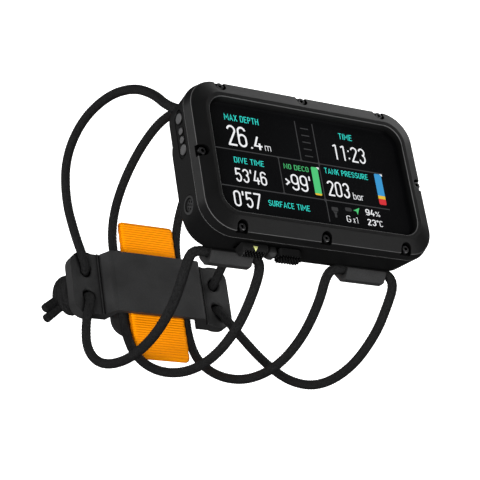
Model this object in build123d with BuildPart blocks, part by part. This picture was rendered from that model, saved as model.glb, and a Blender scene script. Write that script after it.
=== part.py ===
from build123d import *
import os
from math import pi, radians, tan

os.makedirs("parts", exist_ok=True)

# Frame: the origin is the centre of the flat case back. +Z comes out of the display,
# +X runs along the case and +Y points to the top edge of the display. Millimetres.

# Case levels along Z and half sizes, each (half_x, half_y, corner_radius)
foot_z = 0.4
ledge_z = 9.5
seam_z = 23.0
bezel_edge_z = 26.7
rim_z = 28.8
glass_top_z = 25.8
foot_outline = (45.9, 26.7, 15.0)
ledge_outline = (50.65, 30.4, 10.8)
seam_outline = (52.2, 32.3, 13.0)
bezel_edge_outline = (51.05, 31.45, 12.0)
rim_outer_outline = (46.0, 26.0, 8.6)
rim_inner_outline = (44.35, 24.4, 7.4)
window_outline = (44.0, 23.7, 7.0)
edge_rounding = 0.35
rim_rounding = 0.5
seam_rounding = 0.2
upper_cavity = (46.4, 26.6, 8.0)
lower_cavity = (37.0, 16.2, 5.0)

# Display stack
glass_outline = (45.4, 25.1, 8.0)
glass_bottom_z = 24.2
gasket_bottom_z = 23.8
panel_size = (80.0, 48.0)
panel_thickness = 1.4
tray_bottom_z = 21.4
tray_top_z = 22.7

# Back cover
cover_outline = (42.0, 21.0, 3.5)
cover_top_z = 2.4
cover_seal_line = (38.0, 17.2, 5.5)
cover_screw_spots = [(x, y) for x in (-39.6, 39.6) for y in (-18.6, 18.6)] + [
    (0.0, -19.1), (0.0, 19.1),
]

# Bezel screws
screw_radius = 1.0
screw_clearance = 1.2
screw_head_radius = 1.6
screw_head_top_z = 27.0
screw_head_height = 1.6
counterbore_radius = 2.3
corner_screw_x = 37.0
edge_screw_y = 29.6
end_screw_x = 49.2
notch_length = 5.0

# Side buttons, both on the lower wall, sliding along Y
button_z = 16.3
left_button_x = -27.3
right_button_x = -11.3
pocket_floor_y = -30.2
cap_back_y = -31.5
stem_radius = 1.2
stem_clearance = 0.05
stem_end_y = -24.0
spring_seat_y = -28.7
spring_radius = 1.75
spring_wire = 0.36

# Left wall: charging contacts and depth sensor
contact_z = 17.8
contact_rows = [(18.2, 2.3), (12.7, 1.6), (9.1, 1.6), (4.9, 2.3)]
insert_centre_y = 11.5
insert_length = 20.4
insert_height = 6.8
sensor_y = -17.4
sensor_z = 16.2
sensor_radius = 3.8

# Bungee guides
guide_inner_x = 21.5
guide_outer_x = 40.0
bore_y = 30.2
bore_z = 6.4
cord_radius = 2.0
guide_bore_radius = 2.2
guide_screw_x = (27.0, 34.5)
guide_screw_y = 24.0

# Buckle plate, parallel to the case on the far side of the arm
plate_x = -8.5
bridge_top_z = -81.0
plate_top_z = -86.3
plate_bottom_z = -91.6
plate_half_length = 38.1
bridge_half_length = 21.5
ramp_length = 2.9
bridge_wall = 2.0
bridge_half_width = 13.75
end_half_width = 14.3
end_corner_radius = 6.0
end_inner_x = 24.5
bend_radius = 2.4
hole_offset_x = 31.0
hole_offset_y = 5.3

# Pull tab webbing
webbing_width = 25.4
webbing_x = -8.4
webbing_half_length = 31.7
webbing_top_z = -84.6
webbing_bottom_z = -88.2
webbing_thickness = 1.5

# Bungee centre lines: knot, upper hole, upper guide, behind the bridge, lower guide,
# lower hole, knot
left_route = [
    (-39.5, 5.3, -91.6), (-39.5, 5.3, -86.4), (-41.3, 9.7, -84.1), (-44.3, 20.3, -83.8),
    (-47, 36.8, -83.6), (-48.1, 53.3, -77.8), (-47.4, 62.8, -62.1), (-46.3, 62.8, -40.1),
    (-46.2, 54.3, -18.8), (-45.7, 43.2, -5.2), (-45.9, 34.2, 2.1), (-43.2, 30.2, 6.4),
    (-18.8, 30.2, 6.4), (-16.4, 35.1, 2.1), (-16.7, 44.2, -8.3), (-17.7, 53.3, -24),
    (-18.7, 59, -42.7), (-20.1, 55, -61.3), (-22, 45.4, -76.5), (-23.8, 33.8, -85.2),
    (-25.3, 21, -87), (-25.2, 8.5, -85.6), (-24.8, -6.5, -85.7), (-24.4, -20, -87),
    (-23.5, -34, -82.4), (-21.6, -46.1, -69), (-19.4, -53.4, -51.1), (-17.7, -54.3, -32.9),
    (-16.5, -49.4, -16.5), (-15.9, -41.6, -4.6), (-15.3, -32.7, 4), (-18.8, -30.2, 6.4),
    (-43.2, -30.2, 6.4), (-46.5, -30.7, 4.9), (-47, -37, -1), (-46.9, -45.1, -11.1),
    (-47, -51.2, -28.3), (-46.7, -51.1, -50), (-45.9, -43.9, -71.8), (-44.6, -31.8, -84.5),
    (-43.2, -19, -85.3), (-40.6, -9.6, -83.6), (-39.5, -5.3, -86.4), (-39.5, -5.3, -91.6),
]
right_route = [
    (22.5, 5.3, -91.6), (22.5, 5.3, -86.4), (23.1, 11.1, -78.4), (27.3, 24.1, -66.6),
    (32.5, 39.7, -55.8), (37.5, 52.7, -42.8), (41.9, 57.8, -25.9), (45.1, 51.8, -10.9),
    (46.5, 41.9, -2.4), (46.4, 34.1, 2.6), (43.2, 30.2, 6.4), (18.8, 30.2, 6.4),
    (16.4, 34.5, 1.8), (16.2, 44, -10), (15, 55, -27), (13, 60, -48), (11, 55, -66),
    (9.3, 43, -80.5), (7.1, 29.1, -86.9), (6.2, 17.3, -87.6), (6.1, 6.4, -86.1), (6, -7, -86.1),
    (6.6, -19.4, -87.6), (7.7, -32.2, -84.9), (9.7, -44.1, -73.1), (11.5, -52.5, -55.6),
    (13.1, -54.6, -36.1), (15.8, -49, -20.4), (16.9, -39.4, -6.5), (15.9, -30.8, 3),
    (18.8, -30.2, 6.4), (43.2, -30.2, 6.4), (46.6, -33.7, 4.3), (45.5, -40.3, -0.6),
    (44.1, -49.1, -9.4), (40.8, -57.6, -24.5), (37.3, -58.4, -42.8), (34.8, -49.8, -59.4),
    (30.6, -36.6, -69.8), (26.5, -21.8, -77.8), (24, -10.1, -83.9), (22.5, -5.3, -86.4),
    (22.5, -5.3, -91.6),
]


def outline(half_x, half_y, corner_radius):
    """A rounded rectangle centred on the sketch origin, given by its half sizes."""
    RectangleRounded(2 * half_x, 2 * half_y, corner_radius)


def wall_plane(x, y, z):
    """A plane on the left wall whose normal points out of the case, along -X."""
    return Plane(origin=(x, y, z), x_dir=(0, -1, 0), z_dir=(-1, 0, 0))


def button_plane(x, y):
    """A plane across a button's axis whose normal points out of the case, along -Y."""
    return Plane(origin=(x, y, button_z), x_dir=(1, 0, 0), z_dir=(0, -1, 0))


def bend_radii(route):
    """The largest arc that each corner's two runs leave room for."""
    radii = []
    for before, here, after in zip(route, route[1:], route[2:]):
        run_in = Vector(*here) - Vector(*before)
        run_out = Vector(*after) - Vector(*here)
        half_turn = radians(run_in.get_angle(run_out)) / 2
        radii.append(0.45 * min(run_in.length, run_out.length) / tan(half_turn))
    return radii


def side_sign(y):
    """Which long side a screw is on, or 0 for a screw on an end."""
    return 1 if y > 0.0 else -1 if y < 0.0 else 0


def end_sign(x, y):
    """Which end a screw is on, or 0 for a screw on a long side."""
    return 0 if y != 0.0 else 1 if x > 0.0 else -1


bezel_screw_spots = [
    (x, y)
    for x in (-corner_screw_x, 0.0, corner_screw_x)
    for y in (-edge_screw_y, edge_screw_y)
] + [(-end_screw_x, 0.0), (end_screw_x, 0.0)]
board_post_spots = [(x, y) for x in (-39.0, 39.0) for y in (-20.0, 20.0)]
guide_screw_spots = [
    (side * x, top * guide_screw_y) for side in (-1, 1) for top in (-1, 1) for x in guide_screw_x
]
button_spots = {"left": left_button_x, "right": right_button_x}

# ---------------------------------------------------------------- housing
board_bottom_z = 12.5
post_radius = 2.4
foot_pocket_top_z = 2.6
foot_pocket_size = (14.0, 5.6)
foot_pocket_x = 30.75
foot_pocket_y = 24.9
guard_x = -19.05
guard_size = (4.05, 5.0)
guard_corner_radius = 1.3
guard_base_y = -30.9

with BuildPart() as housing:
    with BuildSketch(Plane.XY.offset(ledge_z)):
        outline(*ledge_outline)
    with BuildSketch(Plane.XY.offset(seam_z)):
        outline(*seam_outline)
    loft()
    fillet(housing.edges().group_by(Axis.Z)[-1], seam_rounding)
    with BuildSketch(Plane.XY.offset(foot_z)):
        outline(*foot_outline)
    extrude(amount=ledge_z - foot_z)
    foot_edges = housing.edges().group_by(Axis.Z)[0]
    fillet(foot_edges, 1.2)
    with BuildSketch(Plane.XY.offset(ledge_z)):
        outline(*upper_cavity)
    extrude(amount=seam_z - ledge_z, mode=Mode.SUBTRACT)
    with BuildSketch(Plane.XY.offset(cover_top_z)):
        outline(*lower_cavity)
    extrude(amount=ledge_z - cover_top_z, mode=Mode.SUBTRACT)
    with BuildSketch(Plane.XY):
        outline(cover_outline[0] + 0.1, cover_outline[1] + 0.1, cover_outline[2])
    extrude(amount=cover_top_z, mode=Mode.SUBTRACT)
    # posts under the circuit board
    with BuildSketch(Plane.XY.offset(ledge_z)):
        with Locations(*board_post_spots):
            Circle(post_radius)
    extrude(amount=board_bottom_z - ledge_z)
    with BuildSketch(Plane.XY.offset(ledge_z - 2.0)):
        with Locations(*board_post_spots):
            Circle(0.8)
    extrude(amount=board_bottom_z - ledge_z + 2.0, mode=Mode.SUBTRACT)
    # threaded holes for the bezel, the cover and the guides
    with BuildSketch(Plane.XY.offset(seam_z)):
        with Locations(*bezel_screw_spots):
            Circle(screw_radius)
    extrude(amount=-8.0, mode=Mode.SUBTRACT)
    with BuildSketch(Plane.XY.offset(cover_top_z)):
        with Locations(*cover_screw_spots):
            Circle(screw_radius)
    extrude(amount=5.0, mode=Mode.SUBTRACT)
    with BuildSketch(Plane.XY):
        with Locations(*[
            (side * foot_pocket_x, top * foot_pocket_y) for side in (-1, 1) for top in (-1, 1)
        ]):
            Rectangle(*foot_pocket_size)
    extrude(amount=foot_pocket_top_z, mode=Mode.SUBTRACT)
    with BuildSketch(Plane.XY.offset(foot_pocket_top_z)):
        with Locations(*guide_screw_spots):
            Circle(screw_radius)
    extrude(amount=4.4, mode=Mode.SUBTRACT)
    # groove for the bezel seal
    with BuildSketch(Plane.XY.offset(seam_z)):
        outline(upper_cavity[0] + 1.3, upper_cavity[1] + 1.3, 9.3)
        RectangleRounded(
            2 * (upper_cavity[0] + 0.4), 2 * (upper_cavity[1] + 0.4), 8.4, mode=Mode.SUBTRACT
        )
    extrude(amount=-0.8, mode=Mode.SUBTRACT)
    # button pockets, spring seats and stem bores
    with BuildSketch(button_plane(left_button_x, pocket_floor_y)):
        RectangleRounded(11.8, 7.4, 1.2)
    extrude(amount=4.0, mode=Mode.SUBTRACT)
    with BuildSketch(button_plane(right_button_x, pocket_floor_y)):
        RectangleRounded(9.8, 6.2, 1.2)
    extrude(amount=4.0, mode=Mode.SUBTRACT)
    with BuildSketch(button_plane(guard_x, guard_base_y)):
        RectangleRounded(*guard_size, guard_corner_radius)
    extrude(amount=4.0, mode=Mode.SUBTRACT)
    for button_x in button_spots.values():
        with BuildSketch(button_plane(button_x, spring_seat_y)):
            Circle(spring_radius + 0.45)
        extrude(amount=3.0, mode=Mode.SUBTRACT)
        with BuildSketch(button_plane(button_x, -26.0)):
            Circle(stem_radius + stem_clearance)
        extrude(amount=4.0, mode=Mode.SUBTRACT)
    # recesses in the left wall
    with BuildSketch(wall_plane(-50.2, insert_centre_y, contact_z)):
        SlotOverall(insert_length, insert_height)
    extrude(amount=3.0, mode=Mode.SUBTRACT)
    with BuildSketch(wall_plane(-46.0, insert_centre_y, contact_z)):
        SlotOverall(insert_length - 3.0, insert_height - 3.0)
    extrude(amount=5.0, mode=Mode.SUBTRACT)
    with BuildSketch(wall_plane(-49.6, sensor_y, sensor_z)):
        Circle(sensor_radius)
    extrude(amount=3.0, mode=Mode.SUBTRACT)
    with BuildSketch(wall_plane(-46.0, sensor_y, sensor_z)):
        Circle(2.6)
    extrude(amount=5.0, mode=Mode.SUBTRACT)
housing.part.label = "housing"
export_step(housing.part, "parts/housing.step")

# ---------------------------------------------------------------- bezel and its screws
with BuildPart() as bezel:
    with BuildSketch(Plane.XY.offset(seam_z)):
        outline(*seam_outline)
    with BuildSketch(Plane.XY.offset(bezel_edge_z)):
        outline(*bezel_edge_outline)
    loft()
    with BuildSketch(Plane.XY.offset(bezel_edge_z)):
        outline(*bezel_edge_outline)
    with BuildSketch(Plane.XY.offset(rim_z)):
        outline(*rim_outer_outline)
    loft()
    fillet(bezel.edges().filter_by(lambda edge: abs(edge.center().Z - bezel_edge_z) < 0.01), edge_rounding)
    fillet(bezel.edges().group_by(Axis.Z)[0], seam_rounding)
    with BuildSketch(Plane.XY.offset(glass_top_z)):
        outline(*window_outline)
    with BuildSketch(Plane.XY.offset(rim_z)):
        outline(*rim_inner_outline)
    loft(mode=Mode.SUBTRACT)
    fillet(bezel.edges().group_by(Axis.Z)[-1], rim_rounding)
    with BuildSketch(Plane.XY.offset(seam_z)):
        outline(glass_outline[0] + 0.1, glass_outline[1] + 0.1, glass_outline[2] + 0.1)
    extrude(amount=glass_top_z - seam_z, mode=Mode.SUBTRACT)
    with BuildSketch(Plane.XY.offset(seam_z)):
        with Locations(*bezel_screw_spots):
            Circle(screw_clearance)
    extrude(amount=rim_z - seam_z, mode=Mode.SUBTRACT)
    # screw pockets, each open to the nearest side
    with BuildSketch(Plane.XY.offset(screw_head_top_z - screw_head_height)):
        with Locations(*bezel_screw_spots):
            Circle(counterbore_radius)
        for x, y in bezel_screw_spots:
            with Locations((x + notch_length / 2 * end_sign(x, y), y + notch_length / 2 * side_sign(y))):
                Rectangle(
                    notch_length if y == 0.0 else 2 * counterbore_radius,
                    2 * counterbore_radius if y == 0.0 else notch_length,
                )
    extrude(amount=4.0, mode=Mode.SUBTRACT)
bezel.part.label = "bezel"
export_step(bezel.part, "parts/bezel.step")

with BuildPart() as bezel_screws:
    with BuildSketch(Plane.XY.offset(screw_head_top_z - screw_head_height)):
        with Locations(*bezel_screw_spots):
            Circle(screw_head_radius)
    extrude(amount=screw_head_height)
    head_rims = bezel_screws.edges().group_by(Axis.Z)[-1]
    fillet(head_rims, 0.3)
    with BuildSketch(Plane.XY.offset(screw_head_top_z)):
        with Locations(*bezel_screw_spots):
            RegularPolygon(0.75, 6)
    extrude(amount=-0.9, mode=Mode.SUBTRACT)
    with BuildSketch(Plane.XY.offset(screw_head_top_z - screw_head_height)):
        with Locations(*bezel_screw_spots):
            Circle(screw_radius)
    extrude(amount=-9.0)
bezel_screws.part.label = "bezel_screws"
export_step(bezel_screws.part, "parts/bezel_screws.step")

with BuildPart() as bezel_seal:
    with BuildSketch(Plane.XY.offset(seam_z - 0.8)):
        outline(upper_cavity[0] + 1.25, upper_cavity[1] + 1.25, 9.25)
        RectangleRounded(
            2 * (upper_cavity[0] + 0.45), 2 * (upper_cavity[1] + 0.45), 8.45, mode=Mode.SUBTRACT
        )
    extrude(amount=0.8)
bezel_seal.part.label = "bezel_seal"
export_step(bezel_seal.part, "parts/bezel_seal.step")

# ---------------------------------------------------------------- display stack
with BuildPart() as glass:
    with BuildSketch(Plane.XY.offset(glass_bottom_z)):
        outline(*glass_outline)
    extrude(amount=glass_top_z - glass_bottom_z)
glass.part.label = "glass"
export_step(glass.part, "parts/glass.step")

with BuildPart() as glass_gasket:
    with BuildSketch(Plane.XY.offset(gasket_bottom_z)):
        outline(*glass_outline)
        RectangleRounded(2 * 43.6, 2 * 24.3, 6.6, mode=Mode.SUBTRACT)
    extrude(amount=glass_bottom_z - gasket_bottom_z)
glass_gasket.part.label = "glass_gasket"
export_step(glass_gasket.part, "parts/glass_gasket.step")

with BuildPart() as display_panel:
    with BuildSketch(Plane.XY.offset(tray_top_z)):
        RectangleRounded(*panel_size, 3.0)
    extrude(amount=panel_thickness)
display_panel.part.label = "display_panel"
export_step(display_panel.part, "parts/display_panel.step")

with BuildPart() as display_tray:
    with BuildSketch(Plane.XY.offset(tray_bottom_z)):
        outline(45.2, 25.3, 7.5)
        with GridLocations(26.0, 22.0, 3, 2):
            RectangleRounded(20.0, 14.0, 2.0, mode=Mode.SUBTRACT)
    extrude(amount=tray_top_z - tray_bottom_z)
    with BuildSketch(Plane.XY.offset(tray_top_z)):
        outline(45.2, 25.0, 7.8)
        RectangleRounded(2 * 43.6, 2 * 24.3, 6.6, mode=Mode.SUBTRACT)
    extrude(amount=gasket_bottom_z - tray_top_z)
display_tray.part.label = "display_tray"
export_step(display_tray.part, "parts/display_tray.step")

# ---------------------------------------------------------------- electronics
board_top_z = board_bottom_z + 1.2

with BuildPart() as circuit_board:
    with BuildSketch(Plane.XY.offset(board_bottom_z)):
        RectangleRounded(87.0, 45.0, 3.0)
        with Locations(*board_post_spots):
            Circle(0.85, mode=Mode.SUBTRACT)
    extrude(amount=board_top_z - board_bottom_z)
    with BuildSketch(Plane.XY.offset(board_top_z)):
        with Locations((-14.0, 6.0)):
            Rectangle(12.0, 12.0)
        with Locations((6.0, 8.0), (6.0, -6.0)):
            Rectangle(9.0, 7.0)
        with Locations((24.0, 0.0)):
            Rectangle(7.0, 16.0)
    extrude(amount=1.1)
circuit_board.part.label = "circuit_board"
export_step(circuit_board.part, "parts/circuit_board.step")

with BuildPart() as board_screws:
    with BuildSketch(Plane.XY.offset(board_top_z)):
        with Locations(*board_post_spots):
            Circle(1.4)
    extrude(amount=0.9)
    with BuildSketch(Plane.XY.offset(board_top_z)):
        with Locations(*board_post_spots):
            Circle(0.8)
    extrude(amount=-4.0)
board_screws.part.label = "board_screws"
export_step(board_screws.part, "parts/board_screws.step")

with BuildPart() as button_switches:
    for button_x in button_spots.values():
        with BuildSketch(Plane.XY.offset(board_top_z)):
            with Locations((button_x, -20.9)):
                Rectangle(5.0, 3.0)
        extrude(amount=4.2)
        with BuildSketch(button_plane(button_x, -22.4)):
            Circle(0.9)
        extrude(amount=0.4)
button_switches.part.label = "button_switches"
export_step(button_switches.part, "parts/button_switches.step")

with BuildPart() as battery:
    with BuildSketch(Plane.XY.offset(cover_top_z + 0.4)):
        RectangleRounded(56.0, 30.0, 2.0)
    extrude(amount=8.6)
    fillet(battery.edges().filter_by(Plane.XY), 0.8)
battery.part.label = "battery"
export_step(battery.part, "parts/battery.step")

with BuildPart() as vibration_motor:
    with BuildSketch(Plane.XY.offset(ledge_z)):
        with Locations((41.0, 8.0)):
            Circle(4.0)
    extrude(amount=2.8)
vibration_motor.part.label = "vibration_motor"
export_step(vibration_motor.part, "parts/vibration_motor.step")

# ---------------------------------------------------------------- back cover
with BuildPart() as back_cover:
    with BuildSketch(Plane.XY):
        outline(*cover_outline)
    extrude(amount=cover_top_z)
    fillet(back_cover.edges().group_by(Axis.Z)[0], 0.6)
    with BuildSketch(Plane.XY.offset(cover_top_z)):
        outline(cover_seal_line[0] + 0.5, cover_seal_line[1] + 0.5, 6.0)
        RectangleRounded(
            2 * (cover_seal_line[0] - 0.5), 2 * (cover_seal_line[1] - 0.5), 5.0, mode=Mode.SUBTRACT
        )
    extrude(amount=-0.8, mode=Mode.SUBTRACT)
    with BuildSketch(Plane.XY):
        with Locations(*cover_screw_spots):
            Circle(screw_clearance)
    extrude(amount=cover_top_z, mode=Mode.SUBTRACT)
    with BuildSketch(Plane.XY):
        with Locations(*cover_screw_spots):
            Circle(1.75)
    extrude(amount=1.2, mode=Mode.SUBTRACT)
back_cover.part.label = "back_cover"
export_step(back_cover.part, "parts/back_cover.step")

with BuildPart() as back_cover_seal:
    with BuildSketch(Plane.XY.offset(cover_top_z - 0.8)):
        outline(cover_seal_line[0] + 0.45, cover_seal_line[1] + 0.45, 5.95)
        RectangleRounded(
            2 * (cover_seal_line[0] - 0.45), 2 * (cover_seal_line[1] - 0.45), 5.05,
            mode=Mode.SUBTRACT,
        )
    extrude(amount=0.8)
back_cover_seal.part.label = "back_cover_seal"
export_step(back_cover_seal.part, "parts/back_cover_seal.step")

with BuildPart() as back_cover_screws:
    with BuildSketch(Plane.XY.offset(0.15)):
        with Locations(*cover_screw_spots):
            Circle(screw_head_radius)
            RegularPolygon(0.75, 6, mode=Mode.SUBTRACT)
    extrude(amount=1.05)
    with BuildSketch(Plane.XY.offset(1.0)):
        with Locations(*cover_screw_spots):
            Circle(screw_radius)
    extrude(amount=5.0)
back_cover_screws.part.label = "back_cover_screws"
export_step(back_cover_screws.part, "parts/back_cover_screws.step")

# ---------------------------------------------------------------- left wall fittings
with BuildPart() as charging_insert:
    with BuildSketch(wall_plane(-50.2, insert_centre_y, contact_z)):
        SlotOverall(insert_length - 0.1, insert_height - 0.1)
    extrude(amount=0.9)
    with BuildSketch(wall_plane(-47.0, insert_centre_y, contact_z)):
        SlotOverall(insert_length - 3.1, insert_height - 3.1)
    extrude(amount=3.2)
    for contact_y, contact_radius in contact_rows:
        with BuildSketch(wall_plane(-50.6, contact_y, contact_z)):
            Circle(contact_radius)
        extrude(amount=2.0, mode=Mode.SUBTRACT)
charging_insert.part.label = "charging_insert"
export_step(charging_insert.part, "parts/charging_insert.step")

with BuildPart() as charging_contacts:
    for contact_y, contact_radius in contact_rows:
        with BuildSketch(wall_plane(-50.6, contact_y, contact_z)):
            Circle(contact_radius - 0.05)
        extrude(amount=0.95)
    contact_rims = charging_contacts.edges().group_by(Axis.X)[0]
    fillet(contact_rims, 0.4)
charging_contacts.part.label = "charging_contacts"
export_step(charging_contacts.part, "parts/charging_contacts.step")

with BuildPart() as depth_sensor:
    with BuildSketch(wall_plane(-46.1, sensor_y, sensor_z)):
        Circle(2.5)
    extrude(amount=3.4)
depth_sensor.part.label = "depth_sensor"
export_step(depth_sensor.part, "parts/depth_sensor.step")

with BuildPart() as sensor_cap:
    with BuildSketch(wall_plane(-49.6, sensor_y, sensor_z)):
        Circle(sensor_radius - 0.05)
    extrude(amount=1.95)
    fillet(sensor_cap.edges().group_by(Axis.X)[0], 0.35)
    with BuildSketch(wall_plane(-51.55, sensor_y, sensor_z)):
        Circle(2.75)
    extrude(amount=-0.6, mode=Mode.SUBTRACT)
    with BuildSketch(wall_plane(-50.95, sensor_y, sensor_z)):
        Circle(0.35)
        with PolarLocations(1.45, 6):
            Circle(0.35)
    extrude(amount=-1.35, mode=Mode.SUBTRACT)
sensor_cap.part.label = "sensor_cap"
export_step(sensor_cap.part, "parts/sensor_cap.step")

# ---------------------------------------------------------------- buttons
cap_radius = 3.2
cap_axis_y = -32.8
cap_length = 11.2
cap_chamfer = 1.3
neck_size = (9.2, 5.6)
pad_length = 10.9
pad_height = 5.6
pad_rounding = 0.9
pad_back_y = -34.65
pad_front_y = -36.1

with BuildPart() as left_button_cap:
    with BuildSketch(Plane.YZ.offset(left_button_x - cap_length / 2)):
        with Locations((cap_axis_y, button_z)):
            Circle(cap_radius)
        with Locations((cap_back_y + 5.0, button_z)):
            Rectangle(10.0, 10.0, mode=Mode.SUBTRACT)
    extrude(amount=cap_length)
    end_edges = left_button_cap.edges().filter_by(GeomType.CIRCLE).sort_by(Axis.X)
    chamfer([end_edges[0], end_edges[-1]], cap_chamfer, cap_chamfer * 0.9)
left_button_cap.part.label = "left_button_cap"
export_step(left_button_cap.part, "parts/left_button_cap.step")

with BuildPart() as right_button_cap:
    with BuildSketch(button_plane(right_button_x, cap_back_y)):
        RectangleRounded(*neck_size, 1.0)
    extrude(amount=cap_back_y - pad_back_y + 0.1)
    with BuildSketch(button_plane(right_button_x, pad_back_y)):
        RectangleRounded(pad_length, pad_height, 2.2)
    extrude(amount=pad_back_y - pad_front_y)
    fillet(right_button_cap.edges().group_by(Axis.Y)[0], pad_rounding)
right_button_cap.part.label = "right_button_cap"
export_step(right_button_cap.part, "parts/right_button_cap.step")

groove_radius = 0.9
ring_y = -27.9
ring_half_width = 0.35
clip_y = -26.1
clip_half_width = 0.3

for side, button_x in button_spots.items():
    with BuildPart() as stem:
        with BuildSketch(button_plane(button_x, stem_end_y)):
            Circle(stem_radius)
        extrude(amount=stem_end_y - cap_back_y)
        for groove_y, half_width in ((ring_y, ring_half_width), (clip_y, clip_half_width)):
            with BuildSketch(button_plane(button_x, groove_y + half_width)):
                Circle(stem_radius + 0.1)
                Circle(groove_radius, mode=Mode.SUBTRACT)
            extrude(amount=2 * half_width, mode=Mode.SUBTRACT)
    stem.part.label = f"{side}_button_stem"
    export_step(stem.part, f"parts/{side}_button_stem.step")

    with BuildPart() as seal_ring:
        with BuildSketch(button_plane(button_x, ring_y + ring_half_width)):
            Circle(stem_radius + 0.02)
            Circle(groove_radius, mode=Mode.SUBTRACT)
        extrude(amount=2 * ring_half_width)
    seal_ring.part.label = f"{side}_button_seal"
    export_step(seal_ring.part, f"parts/{side}_button_seal.step")

    with BuildPart() as clip:
        with BuildSketch(button_plane(button_x, clip_y + clip_half_width)):
            Circle(2.4)
            Circle(groove_radius, mode=Mode.SUBTRACT)
            with Locations((0.0, -2.0)):
                Rectangle(1.4, 3.0, mode=Mode.SUBTRACT)
        extrude(amount=2 * clip_half_width)
    clip.part.label = f"{side}_button_clip"
    export_step(clip.part, f"parts/{side}_button_clip.step")

    spring_length = spring_seat_y - cap_back_y - spring_wire
    coil_start = (button_x, spring_seat_y - spring_wire / 2, button_z)
    with BuildPart() as spring:
        with BuildLine():
            coil = Helix(
                spring_length / 3, spring_length, spring_radius,
                center=coil_start, direction=(0, -1, 0),
            )
        with BuildSketch(Plane(coil @ 0, z_dir=coil % 0)):
            Circle(spring_wire / 2)
        sweep()
    spring.part.label = f"{side}_button_spring"
    export_step(spring.part, f"parts/{side}_button_spring.step")

with BuildPart() as button_guard:
    with BuildSketch(button_plane(guard_x, guard_base_y)):
        RectangleRounded(*guard_size, guard_corner_radius)
    extrude(amount=4.4)
    guard_front = button_guard.edges().group_by(Axis.Y)[0]
    chamfer(guard_front, 1.2)
button_guard.part.label = "button_guard"
export_step(button_guard.part, "parts/button_guard.step")

# ---------------------------------------------------------------- bungee guides
guide_bottom_z = 0.4
guide_back_y = 26.7
guide_corner_radius = 0.5
guide_nose_radius = 2.2
guide_length = guide_outer_x - guide_inner_x
guide_middle_x = (guide_outer_x + guide_inner_x) / 2
guide_section = [
    (guide_back_y, guide_bottom_z), (30.2, guide_bottom_z), (34.2, 3.2), (34.7, 6.5),
    (31.0, ledge_z), (guide_back_y, ledge_z),
]

for row, top in (("upper", 1), ("lower", -1)):
    for side, right in (("left", -1), ("right", 1)):
        with BuildPart() as guide:
            with BuildSketch(Plane.YZ.offset(right * guide_middle_x)):
                with BuildLine():
                    Polyline(*[(top * y, z) for y, z in guide_section], close=True)
                make_face()
                front_corners = vertices().sort_by(Axis.Y)
                fillet(front_corners[-2:] if top > 0 else front_corners[:2], guide_nose_radius)
            extrude(amount=guide_length / 2, both=True)
            # plan shape with rounded front corners
            with BuildSketch(Plane.XY.offset(guide_bottom_z)):
                with Locations((right * guide_middle_x, top * 28.0)):
                    RectangleRounded(guide_length, 2 * 6.7, guide_corner_radius)
            extrude(amount=ledge_z - guide_bottom_z, mode=Mode.INTERSECT)
            # foot that screws into the underside of the housing
            with BuildSketch(Plane.XY.offset(guide_bottom_z)):
                with Locations((right * foot_pocket_x, top * (foot_pocket_y + 0.05))):
                    Rectangle(foot_pocket_size[0] - 0.1, foot_pocket_size[1] - 0.1)
            extrude(amount=foot_pocket_top_z - guide_bottom_z)
            with BuildSketch(Plane.YZ.offset(right * guide_middle_x)):
                with Locations((top * bore_y, bore_z)):
                    Circle(guide_bore_radius)
            extrude(amount=guide_length, both=True, mode=Mode.SUBTRACT)
            with BuildSketch(Plane.XY):
                with Locations(*[(right * x, top * guide_screw_y) for x in guide_screw_x]):
                    Circle(screw_clearance)
            extrude(amount=foot_pocket_top_z, mode=Mode.SUBTRACT)
            with BuildSketch(Plane.XY):
                with Locations(*[(right * x, top * guide_screw_y) for x in guide_screw_x]):
                    Circle(1.75)
            extrude(amount=1.5, mode=Mode.SUBTRACT)
        guide.part.label = f"{row}_{side}_guide"
        export_step(guide.part, f"parts/{row}_{side}_guide.step")

with BuildPart() as guide_screws:
    with BuildSketch(Plane.XY.offset(0.5)):
        with Locations(*guide_screw_spots):
            Circle(screw_head_radius)
            RegularPolygon(0.75, 6, mode=Mode.SUBTRACT)
    extrude(amount=1.0)
    with BuildSketch(Plane.XY.offset(1.3)):
        with Locations(*guide_screw_spots):
            Circle(screw_radius)
    extrude(amount=5.0)
guide_screws.part.label = "guide_screws"
export_step(guide_screws.part, "parts/guide_screws.step")

# ---------------------------------------------------------------- buckle
tunnel_half_top = bridge_half_length - bridge_wall
tunnel_half_bottom = bridge_half_length + 0.5
plate_profile = [
    (plate_half_length, plate_bottom_z), (plate_half_length, plate_top_z),
    (bridge_half_length + ramp_length, plate_top_z), (bridge_half_length, bridge_top_z),
]
tunnel_profile = [
    (tunnel_half_top, bridge_top_z - bridge_wall), (tunnel_half_bottom, plate_bottom_z),
]
plate_points = (
    [(plate_x + x, z) for x, z in plate_profile]
    + [(plate_x - x, z) for x, z in reversed(plate_profile)]
    + [(plate_x - x, z) for x, z in reversed(tunnel_profile)]
    + [(plate_x + x, z) for x, z in tunnel_profile]
)
cord_holes = [
    (plate_x + side * hole_offset_x, top * hole_offset_y) for side in (-1, 1) for top in (-1, 1)
]
keeper_screw_spots = [(plate_x + side * 24.2, y) for side in (-1, 1) for y in (-5.0, 5.0)]

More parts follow.
